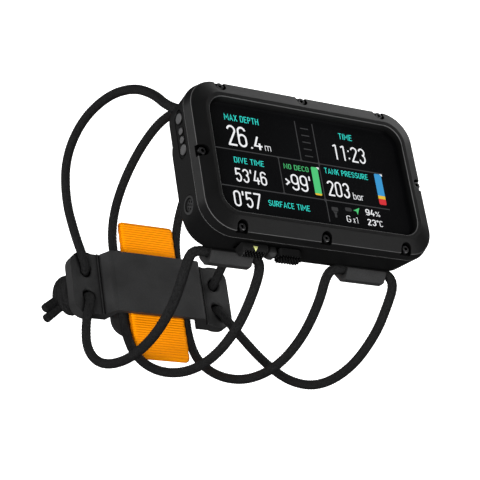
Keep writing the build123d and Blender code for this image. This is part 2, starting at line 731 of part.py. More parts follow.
with BuildPart() as buckle_plate:
    with BuildSketch(Plane.XZ):
        with BuildLine():
            Polyline(*plate_points, close=True)
        make_face()
        bend_corners = vertices().group_by(Axis.Y)[-1] + vertices().group_by(Axis.Y)[-2]
        fillet(bend_corners, bend_radius)
    extrude(amount=end_half_width, both=True)
    end_length = plate_half_length - end_inner_x
    with BuildSketch(Plane.XY.offset(plate_bottom_z)):
        with Locations((plate_x, 0.0)):
            Rectangle(2 * end_inner_x + end_length, 2 * bridge_half_width)
        with Locations(
            (plate_x - end_inner_x - end_length / 2, 0.0), (plate_x + end_inner_x + end_length / 2, 0.0),
        ):
            RectangleRounded(end_length, 2 * end_half_width, end_corner_radius)
    extrude(amount=bridge_top_z - plate_bottom_z, mode=Mode.INTERSECT)
    # low ribs at the foot of each ramp
    with BuildSketch(Plane.XY.offset(plate_top_z)):
        with Locations((plate_x - 25.2, 0.0), (plate_x + 25.2, 0.0)):
            Rectangle(0.7, 2 * end_half_width - 1.0)
    extrude(amount=0.4)
    with BuildSketch(Plane.XY.offset(plate_bottom_z)):
        with Locations(*cord_holes):
            Circle(guide_bore_radius + 0.1)
    extrude(amount=plate_top_z - plate_bottom_z, mode=Mode.SUBTRACT)
    hole_mouths = buckle_plate.edges().filter_by(GeomType.CIRCLE).filter_by(
        lambda edge: abs(edge.center().Z - plate_top_z) < 0.01 and edge.radius < 2.5
    )
    chamfer(hole_mouths, 0.8)
    # moulded reliefs where each bungee leaves its hole
    for route in (left_route, right_route):
        for lead in (route[:4], route[-4:]):
            with BuildLine():
                lead_line = FilletPolyline(*lead, radius=bend_radii(lead))
            with BuildSketch(Plane(lead_line @ 0, z_dir=lead_line % 0)):
                Circle(guide_bore_radius + 0.1)
            sweep(mode=Mode.SUBTRACT)
    with BuildSketch(Plane.XY.offset(plate_bottom_z)):
        with Locations(*keeper_screw_spots):
            Circle(screw_radius)
    extrude(amount=4.2, mode=Mode.SUBTRACT)
buckle_plate.part.label = "buckle_plate"
export_step(buckle_plate.part, "parts/buckle_plate.step")

keeper_bottom_z = plate_bottom_z - 2.2

with BuildPart() as rear_keeper:
    with BuildSketch(Plane.XY.offset(keeper_bottom_z)):
        with Locations((plate_x, 0.0)):
            RectangleRounded(37.0, 40.0, 7.0)
            RectangleRounded(52.0, 16.0, 2.5)
        with Locations(*keeper_screw_spots):
            Circle(screw_clearance, mode=Mode.SUBTRACT)
    extrude(amount=plate_bottom_z - keeper_bottom_z)
    fillet(rear_keeper.faces().sort_by(Axis.Z)[0].outer_wire().edges(), 0.8)
rear_keeper.part.label = "rear_keeper"
export_step(rear_keeper.part, "parts/rear_keeper.step")

with BuildPart() as keeper_screws:
    with BuildSketch(Plane.XY.offset(keeper_bottom_z)):
        with Locations(*keeper_screw_spots):
            Circle(screw_head_radius)
            RegularPolygon(0.75, 6, mode=Mode.SUBTRACT)
    extrude(amount=-1.2)
    with BuildSketch(Plane.XY.offset(keeper_bottom_z)):
        with Locations(*keeper_screw_spots):
            Circle(screw_radius)
    extrude(amount=6.2)
keeper_screws.part.label = "keeper_screws"
export_step(keeper_screws.part, "parts/keeper_screws.step")

webbing_height = webbing_top_z - webbing_bottom_z
webbing_middle = (-0.9, (webbing_top_z + webbing_bottom_z) / 2)

with BuildPart() as pull_tab:
    with BuildSketch(Plane.YZ.offset(webbing_x)):
        with Locations(webbing_middle):
            SlotOverall(2 * webbing_half_length, webbing_height)
            SlotOverall(
                2 * (webbing_half_length - webbing_thickness),
                webbing_height - 2 * webbing_thickness,
                mode=Mode.SUBTRACT,
            )
    extrude(amount=webbing_width / 2, both=True)
pull_tab.part.label = "pull_tab"
export_step(pull_tab.part, "parts/pull_tab.step")

# ---------------------------------------------------------------- bungees and knots
section_area = pi * cord_radius**2

for side, route in (("left", left_route), ("right", right_route)):
    radii = bend_radii(route)
    with BuildPart() as bungee:
        with BuildLine():
            centre_line = FilletPolyline(*route, radius=radii)
        with BuildSketch(Plane(centre_line @ 0, z_dir=centre_line % 0)):
            Circle(cord_radius)
        sweep()
    swept_volume = section_area * centre_line.length
    print(f"{side} bungee length {centre_line.length:.1f}, tightest bend {min(radii):.1f}")
    print(f"  volume {bungee.part.volume:.0f}, section x length {swept_volume:.0f}")
    bungee.part.label = f"{side}_bungee"
    export_step(bungee.part, f"parts/{side}_bungee.step")

knot_height = 10.8
tail_length = 10.0
knots = {
    "left": {
        "x": (-49.0, -35.2), "y": (-11.0, 9.4),
        "tails": [((-45.0, -1.5, -97.5), (-0.78, -0.48, -0.4)),
                  ((-44.5, -7.0, -98.0), (-0.78, -0.42, -0.46))],
    },
    "right": {
        "x": (18.2, 32.0), "y": (-9.4, 11.0),
        "tails": [((28.0, 1.5, -97.5), (0.78, -0.3, -0.55)),
                  ((27.5, 6.5, -98.0), (0.78, -0.1, -0.62))],
    },
}

for side, knot_spec in knots.items():
    low_x, high_x = knot_spec["x"]
    low_y, high_y = knot_spec["y"]
    with BuildPart() as knot:
        with BuildSketch(Plane.XY.offset(plate_bottom_z)):
            with Locations(((low_x + high_x) / 2, (low_y + high_y) / 2)):
                RectangleRounded(high_x - low_x, high_y - low_y, 4.5)
        extrude(amount=-knot_height)
        fillet(knot.edges().group_by(Axis.Z)[0], 3.5)
        fillet(knot.edges().group_by(Axis.Z)[-1], 1.4)
        for tail_start, tail_direction in knot_spec["tails"]:
            with BuildSketch(Plane(origin=tail_start, z_dir=tail_direction)):
                Circle(cord_radius)
            extrude(amount=tail_length)
    knot.part.label = f"{side}_knot"
    export_step(knot.part, f"parts/{side}_knot.step")
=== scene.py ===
"""Looks of a wrist dive computer on two elastic bungees.

Row frame, metres: the origin is the centre of the flat case back, +Z comes out of the
display, +X runs along the case and +Y points to the display's top edge.
"""

from math import acos, ceil, cos, pi, radians, sin, sqrt

import bpy
import numpy as np
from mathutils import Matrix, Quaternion, Vector


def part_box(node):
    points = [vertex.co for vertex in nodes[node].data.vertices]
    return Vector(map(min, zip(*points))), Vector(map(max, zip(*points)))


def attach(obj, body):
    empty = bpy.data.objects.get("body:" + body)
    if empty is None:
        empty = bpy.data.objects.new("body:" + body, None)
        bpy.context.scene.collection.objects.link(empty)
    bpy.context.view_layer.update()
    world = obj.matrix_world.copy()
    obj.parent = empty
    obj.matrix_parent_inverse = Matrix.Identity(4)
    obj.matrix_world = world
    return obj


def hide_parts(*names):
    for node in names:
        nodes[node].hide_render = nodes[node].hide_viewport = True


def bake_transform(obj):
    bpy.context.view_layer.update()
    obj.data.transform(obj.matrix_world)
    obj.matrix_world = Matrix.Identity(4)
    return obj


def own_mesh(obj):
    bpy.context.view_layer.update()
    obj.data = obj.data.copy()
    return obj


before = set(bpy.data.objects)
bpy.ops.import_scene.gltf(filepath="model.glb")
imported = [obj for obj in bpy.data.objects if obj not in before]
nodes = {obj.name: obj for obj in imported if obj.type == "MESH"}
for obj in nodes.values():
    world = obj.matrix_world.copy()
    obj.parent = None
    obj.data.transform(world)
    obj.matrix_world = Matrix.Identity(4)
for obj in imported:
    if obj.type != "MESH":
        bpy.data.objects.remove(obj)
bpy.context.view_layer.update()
MM = 0.001

# ------------------------------------------------------------------ camera
camera_azimuth = radians(-50.46)
camera_elevation = radians(47.77)
camera_roll = radians(49.5)
camera_distance = 0.6661
camera_target = Vector((-0.0201, -0.0198, 0.0))
camera_lens = 131.25
camera_sensor = 36.0
camera_clip = (0.05, 10.0)


def placed(name, data):
    """A new object in the scene that holds a mesh, a lamp or a camera."""
    holder = bpy.data.objects.new(name, data)
    bpy.context.scene.collection.objects.link(holder)
    return holder


def turn_to(holder, turn):
    holder.rotation_mode = "QUATERNION"
    holder.rotation_quaternion = turn


def add_camera():
    """The camera, set by the direction it looks from and its turn about that direction."""
    back = Vector((
        sin(camera_azimuth) * cos(camera_elevation),
        -cos(camera_azimuth) * cos(camera_elevation),
        sin(camera_elevation),
    ))
    camera = placed("camera", bpy.data.cameras.new("camera"))
    camera.data.lens = camera_lens
    camera.data.sensor_width = camera_sensor
    camera.data.clip_start, camera.data.clip_end = camera_clip
    camera.location = camera_target + back * camera_distance
    turn_to(camera, Quaternion(back, camera_roll) @ back.to_track_quat("Z", "Y"))
    bpy.context.scene.camera = camera


add_camera()

# ------------------------------------------------------------------ bungee routes
# The same points as the CAD source, in millimetres, with one more point inside each guide
# at each end, so that the smooth line stays straight in the bore.
CORD_DIAMETER = 4.0 * MM
left_route = [
    (-39.5, 5.3, -91.6), (-39.5, 5.3, -86.4), (-41.3, 9.7, -84.1), (-44.3, 20.3, -83.8),
    (-47, 36.8, -83.6), (-48.1, 53.3, -77.8), (-47.4, 62.8, -62.1), (-46.3, 62.8, -40.1),
    (-46.2, 54.3, -18.8), (-45.7, 43.2, -5.2), (-45.9, 34.2, 2.1), (-43.2, 30.2, 6.4),
    (-38.2, 30.2, 6.4), (-23.8, 30.2, 6.4), (-18.8, 30.2, 6.4), (-16.4, 35.1, 2.1),
    (-16.7, 44.2, -8.3), (-17.7, 53.3, -24), (-18.7, 59, -42.7), (-20.1, 55, -61.3),
    (-22, 45.4, -76.5), (-23.8, 33.8, -85.2), (-25.3, 21, -87), (-25.2, 8.5, -85.6),
    (-24.8, -6.5, -85.7), (-24.4, -20, -87), (-23.5, -34, -82.4), (-21.6, -46.1, -69),
    (-19.4, -53.4, -51.1), (-17.7, -54.3, -32.9), (-16.5, -49.4, -16.5), (-15.9, -41.6, -4.6),
    (-15.3, -32.7, 4), (-18.8, -30.2, 6.4), (-23.8, -30.2, 6.4), (-38.2, -30.2, 6.4),
    (-43.2, -30.2, 6.4), (-46.5, -30.7, 4.9), (-47, -37, -1), (-46.9, -45.1, -11.1),
    (-47, -51.2, -28.3), (-46.7, -51.1, -50), (-45.9, -43.9, -71.8), (-44.6, -31.8, -84.5),
    (-43.2, -19, -85.3), (-40.6, -9.6, -83.6), (-39.5, -5.3, -86.4), (-39.5, -5.3, -91.6),
]
right_route = [
    (22.5, 5.3, -91.6), (22.5, 5.3, -86.4), (23.1, 11.1, -78.4), (27.3, 24.1, -66.6),
    (32.5, 39.7, -55.8), (37.5, 52.7, -42.8), (41.9, 57.8, -25.9), (45.1, 51.8, -10.9),
    (46.5, 41.9, -2.4), (46.4, 34.1, 2.6), (43.2, 30.2, 6.4), (38.2, 30.2, 6.4),
    (23.8, 30.2, 6.4), (18.8, 30.2, 6.4), (16.4, 34.5, 1.8), (16.2, 44, -10), (15, 55, -27),
    (13, 60, -48), (11, 55, -66), (9.3, 43, -80.5), (7.1, 29.1, -86.9), (6.2, 17.3, -87.6),
    (6.1, 6.4, -86.1), (6, -7, -86.1), (6.6, -19.4, -87.6), (7.7, -32.2, -84.9),
    (9.7, -44.1, -73.1), (11.5, -52.5, -55.6), (13.1, -54.6, -36.1), (15.8, -49, -20.4),
    (16.9, -39.4, -6.5), (15.9, -30.8, 3), (18.8, -30.2, 6.4), (23.8, -30.2, 6.4),
    (38.2, -30.2, 6.4), (43.2, -30.2, 6.4), (46.6, -33.7, 4.3), (45.5, -40.3, -0.6),
    (44.1, -49.1, -9.4), (40.8, -57.6, -24.5), (37.3, -58.4, -42.8), (34.8, -49.8, -59.4),
    (30.6, -36.6, -69.8), (26.5, -21.8, -77.8), (24, -10.1, -83.9), (22.5, -5.3, -86.4),
    (22.5, -5.3, -91.6),
]


# ------------------------------------------------------------------ mesh helpers
UV_NAME = "along_and_round"


def new_piece(name, vertices, faces, uv=None, smooth=True):
    """A mesh object from points in metres and faces, optionally with a UV for each point."""
    mesh = bpy.data.meshes.new(name)
    mesh.from_pydata([tuple(v) for v in vertices], [], [tuple(f) for f in faces])
    mesh.validate()
    if uv is not None:
        layer = mesh.uv_layers.new(name=UV_NAME)
        corner_points = np.zeros(len(mesh.loops), int)
        mesh.loops.foreach_get("vertex_index", corner_points)
        layer.data.foreach_set("uv", np.asarray(uv, float)[corner_points].ravel())
    mesh.polygons.foreach_set("use_smooth", [smooth] * len(mesh.polygons))
    mesh.update()
    return placed(name, mesh)


def rings_to_faces(ring_count, points_per_ring, first=0):
    """Quads that join closed rings of points in order."""
    faces = []
    for ring in range(ring_count - 1):
        start = first + ring * points_per_ring
        above = start + points_per_ring
        for point in range(points_per_ring):
            following = (point + 1) % points_per_ring
            faces.append((start + point, start + following, above + following, above + point))
    return faces


def closed_faces(ring_count, points_per_ring):
    """The same quads, with a flat face over the first ring and over the last."""
    last = (ring_count - 1) * points_per_ring
    faces = rings_to_faces(ring_count, points_per_ring)
    faces.append(tuple(range(points_per_ring))[::-1])
    faces.append(tuple(range(last, last + points_per_ring)))
    return faces


def spline_points(route_mm, resolution=24):
    """Points in metres along the smooth line that the route's points control."""
    curve = bpy.data.curves.new("route", "CURVE")
    curve.dimensions = "3D"
    curve.resolution_u = resolution
    spline = curve.splines.new("NURBS")
    spline.points.add(len(route_mm) - 1)
    for control, place in zip(spline.points, route_mm):
        control.co = (place[0] * MM, place[1] * MM, place[2] * MM, 1.0)
    spline.order_u = 3
    spline.use_endpoint_u = True
    holder = bpy.data.objects.new("route", curve)
    line_mesh = bpy.data.meshes.new_from_object(holder)
    points = np.array([v.co for v in line_mesh.vertices], float)
    bpy.data.meshes.remove(line_mesh)
    bpy.data.curves.remove(curve)
    return points


def distances(points):
    """How far along a line each of its points lies."""
    return np.concatenate([[0], np.cumsum(np.linalg.norm(np.diff(points, axis=0), axis=1))])


def points_at(points, places):
    """The points that lie those distances along a line."""
    lengths = distances(points)
    return np.stack([np.interp(places, lengths, axis) for axis in points.T], axis=1)


def even_steps(points, step):
    """The same line with points an even step apart, and the distance along it of each."""
    length = distances(points)[-1]
    places = np.linspace(0, length, ceil(length / step) + 1)
    return points_at(points, places), places


def carried_frames(line):
    """Two directions across the line at each point, carried along it without twist."""
    tangents = np.gradient(line, axis=0)
    tangents /= np.linalg.norm(tangents, axis=1)[:, None]
    helper = np.array([1.0, 0.0, 0.0]) if abs(tangents[0][0]) < 0.8 else np.array([0.0, 1.0, 0.0])
    across = np.zeros_like(line)
    current = helper - tangents[0] * (helper @ tangents[0])
    for index, tangent in enumerate(tangents):
        current = current - tangent * (current @ tangent)
        current = current / np.linalg.norm(current)
        across[index] = current
    return across, np.cross(tangents, across)


# ------------------------------------------------------------------ braided cord
BRAID_CARRIERS = 8
BRAID_DEPTH = 0.26 * MM
RING_POINTS = 40
RING_STEP = 0.36 * MM
CUT_END = 0.7 * MM
CUT_ROUNDING = 0.55


def braid_height(along_turns, round_turns):
    """How proud the sleeve is, 0 in a groove to 1 on a strand, where strands cross."""
    first = (round_turns + along_turns) * BRAID_CARRIERS
    second = (round_turns - along_turns) * BRAID_CARRIERS
    first_cell, second_cell = np.floor(first), np.floor(second)
    first_part, second_part = first - first_cell, second - second_cell
    first_is_over = (first_cell + second_cell) % 2 == 0
    over = np.where(first_is_over, first_part, second_part)
    lengthwise = np.where(first_is_over, second_part, first_part)
    return np.sqrt(np.sin(pi * over)) * (0.45 + 0.55 * np.sin(pi * lengthwise))


def braided_tube(points, radius):
    """Points, faces and UV of a closed braided tube along a line, its cut ends slightly rounded."""
    line, places = even_steps(points, RING_STEP)
    across, upward = carried_frames(line)
    turns = np.arange(RING_POINTS) / RING_POINTS
    along_turns = places / (2 * pi * radius)
    height = braid_height(along_turns[:, None], turns[None, :])
    radii = radius - BRAID_DEPTH * (1 - height)
    from_end = np.minimum(places, places[-1] - places)
    inset = np.clip(1 - from_end / CUT_END, 0, 1)
    radii = radii * np.sqrt(1 - CUT_ROUNDING * inset[:, None] ** 2)
    angle = 2 * pi * turns
    ring = (
        line[:, None, :]
        + radii[:, :, None] * np.cos(angle)[None, :, None] * across[:, None, :]
        + radii[:, :, None] * np.sin(angle)[None, :, None] * upward[:, None, :]
    )
    vertices = list(ring.reshape(-1, 3))
    uv = np.stack(np.broadcast_arrays(along_turns[:, None], turns[None, :]), axis=2).reshape(-1, 2)
    return vertices, closed_faces(len(line), RING_POINTS), uv


# ------------------------------------------------------------------ materials
def start_material(name):
    """An empty node material: its tree and its Principled shader."""
    material = bpy.data.materials.new(name)
    material.use_nodes = True
    tree = material.node_tree
    tree.nodes.clear()
    output = tree.nodes.new("ShaderNodeOutputMaterial")
    shader = tree.nodes.new("ShaderNodeBsdfPrincipled")
    tree.links.new(shader.outputs["BSDF"], output.inputs["Surface"])
    return material, tree, shader


def feed(tree, node, values):
    """Set a node's inputs by name, each from a number, a colour or another node's output."""
    for name, value in values.items():
        if isinstance(value, bpy.types.NodeSocket):
            tree.links.new(value, node.inputs[name])
        else:
            node.inputs[name].default_value = value


def split(tree, vector):
    """A vector's own X, Y and Z."""
    node = tree.nodes.new("ShaderNodeSeparateXYZ")
    feed(tree, node, {"Vector": vector})
    return node.outputs


def object_place(tree):
    return tree.nodes.new("ShaderNodeTexCoord").outputs["Object"]


def mesh_uv(tree):
    """The UV that the mesh code wrote, as X and Y."""
    node = tree.nodes.new("ShaderNodeUVMap")
    node.uv_map = UV_NAME
    return split(tree, node.outputs["UV"])


def noise(tree, scale, detail=4.0, roughness=0.55, stretch=(1.0, 1.0, 1.0)):
    """A noise texture whose scale is in features per metre, finer along a stretched axis."""
    place = tree.nodes.new("ShaderNodeMapping")
    feed(tree, place, {"Vector": object_place(tree), "Scale": stretch})
    texture = tree.nodes.new("ShaderNodeTexNoise")
    feed(tree, texture, {
        "Scale": scale, "Detail": detail, "Roughness": roughness, "Vector": place.outputs["Vector"],
    })
    return texture.outputs["Fac"]


def ramp(tree, value, *stops):
    """A colour ramp: each stop is (position, colour)."""
    node = tree.nodes.new("ShaderNodeValToRGB")
    elements = node.color_ramp.elements
    while len(elements) < len(stops):
        elements.new(0.5)
    for element, (position, colour) in zip(elements, stops):
        element.position = position
        element.color = (*colour, 1.0)
    tree.links.new(value, node.inputs["Fac"])
    return node.outputs["Color"]


def span(tree, value, low, high, from_low=0.0, from_high=1.0):
    """The value, stretched from its own range to run from low to high."""
    node = tree.nodes.new("ShaderNodeMapRange")
    feed(tree, node, {
        "Value": value, "From Min": from_low, "From Max": from_high, "To Min": low, "To Max": high,
    })
    return node.outputs["Result"]


def arithmetic(tree, operation, *values):
    """A Math node on one to three values, each a socket or a number."""
    node = tree.nodes.new("ShaderNodeMath")
    node.operation = operation
    for socket, value in zip(node.inputs, values):
        if isinstance(value, (int, float)):
            socket.default_value = value
        else:
            tree.links.new(value, socket)
    return node.outputs["Value"]


def wave(tree, value, turns):
    """A sine that repeats that many times as the value grows by 1."""
    return arithmetic(tree, "SINE", arithmetic(tree, "MULTIPLY", value, 2 * pi * turns))


def combined(tree, how, first, second):
    """Two colours multiplied or added."""
    node = tree.nodes.new("ShaderNodeMix")
    node.data_type = "RGBA"
    node.blend_type = how
    feed(tree, node, {"Factor": 1.0, "A": first, "B": second})
    return node.outputs["Result"]


def bump(tree, shader, height, depth, edge_radius=0.0):
    """Small relief of the given depth in metres, over rounded edges where a radius is given."""
    node = tree.nodes.new("ShaderNodeBump")
    feed(tree, node, {"Strength": 1.0, "Distance": depth, "Height": height})
    if edge_radius:
        rounding = tree.nodes.new("ShaderNodeBevel")
        rounding.samples = 6
        rounding.inputs["Radius"].default_value = edge_radius
        feed(tree, node, {"Normal": rounding.outputs["Normal"]})
    feed(tree, shader, {"Normal": node.outputs["Normal"]})


def scaled(colour, factor):
    return tuple(min(1.0, channel * factor) for channel in colour)


def openness(tree, reach):
    """How open a spot is: 1 on a free face, falling to 0 deep in a groove."""
    node = tree.nodes.new("ShaderNodeAmbientOcclusion")
    node.samples = 8
    node.inputs["Distance"].default_value = reach
    return node.outputs["AO"]


# how strongly the painted shade darkens grooves and recesses
PAINTED_SHADE_CONTRAST = 2.2
SLANT_MIDDLE = 0.6
SLANT_OUTSIDE, SLANT_INSIDE = 0.28, 0.18


def with_painted_recess_shade(tree, shader, tone, reach, gloss):
    """Base colour and gloss darkened in grooves and recesses by an occlusion mask: painted shade."""
    # painted shade: colour and gloss fall with the occlusion mask in grooves, recesses and notches
    deep = arithmetic(tree, "POWER", openness(tree, reach), PAINTED_SHADE_CONTRAST)
    feed(tree, shader, {
        "Base Color": combined(tree, "MULTIPLY", tone, deep),
        "Specular IOR Level": arithmetic(tree, "MULTIPLY", deep, gloss),
    })


def slant_highlight_mask(tree):
    """Mask for the painted edge highlights: 1 on the rounded edges between a top face and a side wall, 0 on
    both faces.
    """
    upward = split(tree, tree.nodes.new("ShaderNodeNewGeometry").outputs["Normal"])["Z"]
    off_middle = arithmetic(tree, "ABSOLUTE", arithmetic(tree, "SUBTRACT", upward, SLANT_MIDDLE))
    return span(tree, off_middle, 0.0, 1.0, SLANT_OUTSIDE, SLANT_INSIDE)


def moulded(name, colour, roughness=0.5, grain=2600.0, depth=0.03 * MM, edge=0.3 * MM, gloss=0.3,
            reach=3.0 * MM, painted_edge_highlight=0.0):
    """Matt moulded plastic with a fine grain, slow tone changes, painted shade in recesses and painted
    highlights on its slanted edges.
    """
    material, tree, shader = start_material(name)
    fine = noise(tree, grain, 3.0)
    slow = noise(tree, 90.0, 3.0)
    both = arithmetic(tree, "MULTIPLY", fine, slow)
    tone = ramp(tree, both, (0.1, scaled(colour, 0.72)), (0.42, scaled(colour, 1.3)))
    # painted highlight: the slanted edges are lightened as if they caught the light
    if painted_edge_highlight:
        tone = combined(tree, "ADD", tone, arithmetic(tree, "MULTIPLY", slant_highlight_mask(tree), painted_edge_highlight))
    with_painted_recess_shade(tree, shader, tone, reach, gloss)
    feed(tree, shader, {"Roughness": span(tree, slow, roughness - 0.06, roughness + 0.07)})
    bump(tree, shader, fine, depth, edge)
    return material


def machined(name, colour, roughness):
    """Metal with fine scratches, and painted shade in its recesses."""
    material, tree, shader = start_material(name)
    scratches = noise(tree, 1800.0, 5.0, 0.5, stretch=(1.0, 1.0, 6.0))
    tone = ramp(tree, scratches, (0.3, scaled(colour, 0.75)), (0.7, scaled(colour, 1.2)))
    with_painted_recess_shade(tree, shader, tone, 1.6 * MM, 0.5)
    uneven = span(tree, scratches, roughness - 0.08, roughness + 0.12)
    feed(tree, shader, {"Metallic": 1.0, "Roughness": uneven})
    bump(tree, shader, scratches, 0.01 * MM, 0.1 * MM)
    return material


def knurled():
    """Black knurled grip: painted shade in the grooves and painted highlights on the points, with less
    gloss in the grooves.
    """
    material, tree, shader = start_material("knurled_plastic")
    proud = mesh_uv(tree)["X"]
    fine = noise(tree, 3000.0, 3.0)
    height = arithmetic(tree, "ADD", proud, arithmetic(tree, "MULTIPLY", fine, 0.12))
    # painted shade and highlight: near black in the grooves, paler on the points, set by the knurl height
    # in the UV
    tone = ramp(
        tree, height, (0.15, (0.0004, 0.0004, 0.0004)), (0.6, (0.002, 0.002, 0.002)),
        (0.95, (0.035, 0.035, 0.0355)),
    )
    feed(tree, shader, {
        "Base Color": tone,
        "Roughness": span(tree, fine, 0.5, 0.64),
        "Specular IOR Level": arithmetic(tree, "MULTIPLY", proud, 0.3),
    })
    bump(tree, shader, fine, 0.012 * MM)
    return material


def dark_glass():
    """The polished cover glass, dark where nothing is lit behind it."""
    material, tree, shader = start_material("cover_glass")
    slow = noise(tree, 35.0, 2.0)
    tone = ramp(tree, slow, (0.3, (0.0022, 0.0023, 0.0026)), (0.75, (0.0036, 0.0037, 0.0042)))
    feed(tree, shader, {
        "Base Color": tone, "Roughness": span(tree, slow, 0.16, 0.2),
        "IOR": 1.5, "Specular IOR Level": 0.3,
    })
    return material


YARNS_PER_CARRIER = 4.0


def braid_material():
    """Black braided sleeve: each strand is a band of fine parallel yarns."""
    material, tree, shader = start_material("braided_sleeve")
    uv = mesh_uv(tree)
    ridges = []
    for direction in (1.0, -1.0):
        slanted = arithmetic(tree, "MULTIPLY_ADD", uv["X"], direction, uv["Y"])
        ridges.append(wave(tree, slanted, YARNS_PER_CARRIER * BRAID_CARRIERS))
    level = span(tree, arithmetic(tree, "MAXIMUM", *ridges), 0.0, 1.0, -1.0, 1.0)
    fuzz = noise(tree, 1500.0, 4.0)
    both = arithmetic(tree, "MULTIPLY", level, fuzz)
    tone = ramp(tree, both, (0.1, (0.0003, 0.0003, 0.0003)), (0.62, (0.021, 0.021, 0.0213)))
    feed(tree, shader, {
        "Base Color": tone, "Roughness": span(tree, fuzz, 0.62, 0.82), "Specular IOR Level": 0.2,
    })
    bump(tree, shader, both, 0.08 * MM)
    return material


WARP_LINES = 42
WARP_SHARE = 0.16


def webbing_material():
    """Orange polyester webbing: fine warp lines over cross ribs, with painted shade in the rib grooves,
    painted highlights on the rib tops and soft wear in the colour.
    """
    material, tree, shader = start_material("orange_webbing")
    uv = mesh_uv(tree)
    warp = wave(tree, uv["Y"], WARP_LINES)
    weft = wave(tree, uv["X"], 1)
    lines = arithmetic(tree, "ADD", arithmetic(tree, "MULTIPLY", warp, WARP_SHARE), weft)
    level = span(tree, lines, 0.0, 1.0, -1 - WARP_SHARE, 1 + WARP_SHARE)
    fuzz = noise(tree, 900.0, 5.0)
    both = arithmetic(
        tree, "ADD", arithmetic(tree, "MULTIPLY", level, 0.62), arithmetic(tree, "MULTIPLY", fuzz, 0.4),
    )
    # painted shade and highlight: deeper orange in the rib grooves, paler orange on the rib tops
    feed(tree, shader, {
        "Base Color": ramp(tree, both, (0.2, (0.8, 0.235, 0.0008)), (0.8, (1.0, 0.31, 0.0014))),
        "Roughness": span(tree, fuzz, 0.6, 0.85),
        "Specular IOR Level": 0.12,
    })
    bump(tree, shader, both, 0.1 * MM)
    return material


SCREEN_PITCH = 0.18 * MM


def lit(name, colour, strength=0.85):
    """A lit area of the screen, with the faint grid of its dots."""
    material, tree, shader = start_material(name)
    place = split(tree, object_place(tree))
    waves = [wave(tree, place[axis], 1 / SCREEN_PITCH) for axis in ("X", "Y")]
    grid = span(tree, arithmetic(tree, "ADD", *waves), 0.0, 1.0, -2.0, 2.0)
    feed(tree, shader, {
        "Base Color": ramp(tree, grid, (0.0, scaled(colour, 0.02)), (1.0, scaled(colour, 0.04))),
        "Emission Color": ramp(tree, grid, (0.0, scaled(colour, 0.88)), (1.0, colour)),
        "Emission Strength": strength,
        "Roughness": 0.4,
        "Specular IOR Level": 0.1,
    })
    return material


# the case and the bezel get painted highlights along their slanted edges
case_plastic = moulded("case_plastic", (0.0042, 0.0042, 0.0043), 0.48, gloss=0.2, painted_edge_highlight=0.14)
bezel_coating = moulded(
    "bezel_coating", (0.005, 0.005, 0.0051), 0.42, 3200.0, 0.02 * MM, 0.0, painted_edge_highlight=0.08,
)
# a lighter copy of the black plastic, painted light for the guides, sensor cap and button guard that face
# the lamps
guide_plastic = moulded("guide_plastic", (0.027, 0.027, 0.0274), 0.5)
buckle_plastic = moulded(
    "buckle_plastic", (0.0225, 0.0225, 0.0228), 0.48, 2300.0, 0.03 * MM, 0.4 * MM, reach=1.4 * MM,
)
knurled_plastic = knurled()
seal_rubber = moulded("seal_rubber", (0.01, 0.01, 0.01), 0.7)
tray_plastic = moulded("tray_plastic", (0.03, 0.03, 0.032), 0.55)
board_laminate = moulded("board_laminate", (0.02, 0.11, 0.05), 0.4)
battery_wrap = moulded("battery_wrap", (0.3, 0.32, 0.34), 0.35, 600.0)
panel_plastic = moulded("display_back", (0.005, 0.005, 0.006), 0.2)
screw_steel = machined("black_screw_steel", (0.3, 0.3, 0.305), 0.3)
inner_steel = machined("inner_steel", (0.5, 0.5, 0.5), 0.3)
contact_metal = machined("contact_metal", (0.42, 0.42, 0.425), 0.42)
motor_metal = machined("motor_metal", (0.55, 0.55, 0.57), 0.3)
cover_glass = dark_glass()
braided_sleeve = braid_material()
orange_webbing = webbing_material()

material_of = {
    "housing": case_plastic, "back_cover": case_plastic, "charging_insert": case_plastic,
    "sensor_cap": guide_plastic, "bezel": bezel_coating, "button_guard": guide_plastic,
    "buckle_plate": buckle_plastic, "rear_keeper": buckle_plastic, "glass": cover_glass,
    "bezel_screws": screw_steel, "guide_screws": screw_steel, "keeper_screws": screw_steel,
    "back_cover_screws": screw_steel, "board_screws": inner_steel,
    "charging_contacts": contact_metal, "vibration_motor": motor_metal, "depth_sensor": motor_metal,
    "display_panel": panel_plastic, "display_tray": tray_plastic, "button_switches": tray_plastic,
    "circuit_board": board_laminate, "battery": battery_wrap,
    "bezel_seal": seal_rubber, "back_cover_seal": seal_rubber, "glass_gasket": seal_rubber,
}
for row in ("upper", "lower"):
    for side in ("left", "right"):
        material_of[f"{row}_{side}_guide"] = guide_plastic
for side in ("left", "right"):
    material_of[f"{side}_button_seal"] = seal_rubber
    for part in ("stem", "clip"):
        material_of[f"{side}_button_{part}"] = inner_steel


def paint(piece, material):
    piece.data.materials.clear()
    piece.data.materials.append(material)
    return piece


for node, material in material_of.items():
    paint(nodes[node], material)

# ------------------------------------------------------------------ bungees and knots
HOLE_Y = 5.3
PLATE_BOTTOM = -91.6
bungees = {
    "left": {
        "route": left_route, "length": 0.61, "centre": (-42.2, -0.4), "outward": -1,
        "tails": ((-53.2, -6.6, -101.6), (-52.2, -10.6, -103.2)),
    },
    "right": {
        "route": right_route, "length": 0.6, "centre": (25.4, 0.8), "outward": 1,
        "tails": ((36.0, 2.0, -102.4), (34.6, 8.6, -104.0)),
    },
}
KNOT_RADIUS = 1.98 * MM
KNOT_TURNS = 1.3
KNOT_POINTS_PER_TURN = 12
KNOT_TOP = -93.4
KNOT_BOTTOM = -100.6
KNOT_RADII_TOP = (3.4, 5.6)
KNOT_RADII_BOTTOM = (5.1, 8.0)
TAIL_START_Y = 1.8
TAIL_START_DROP = 0.6


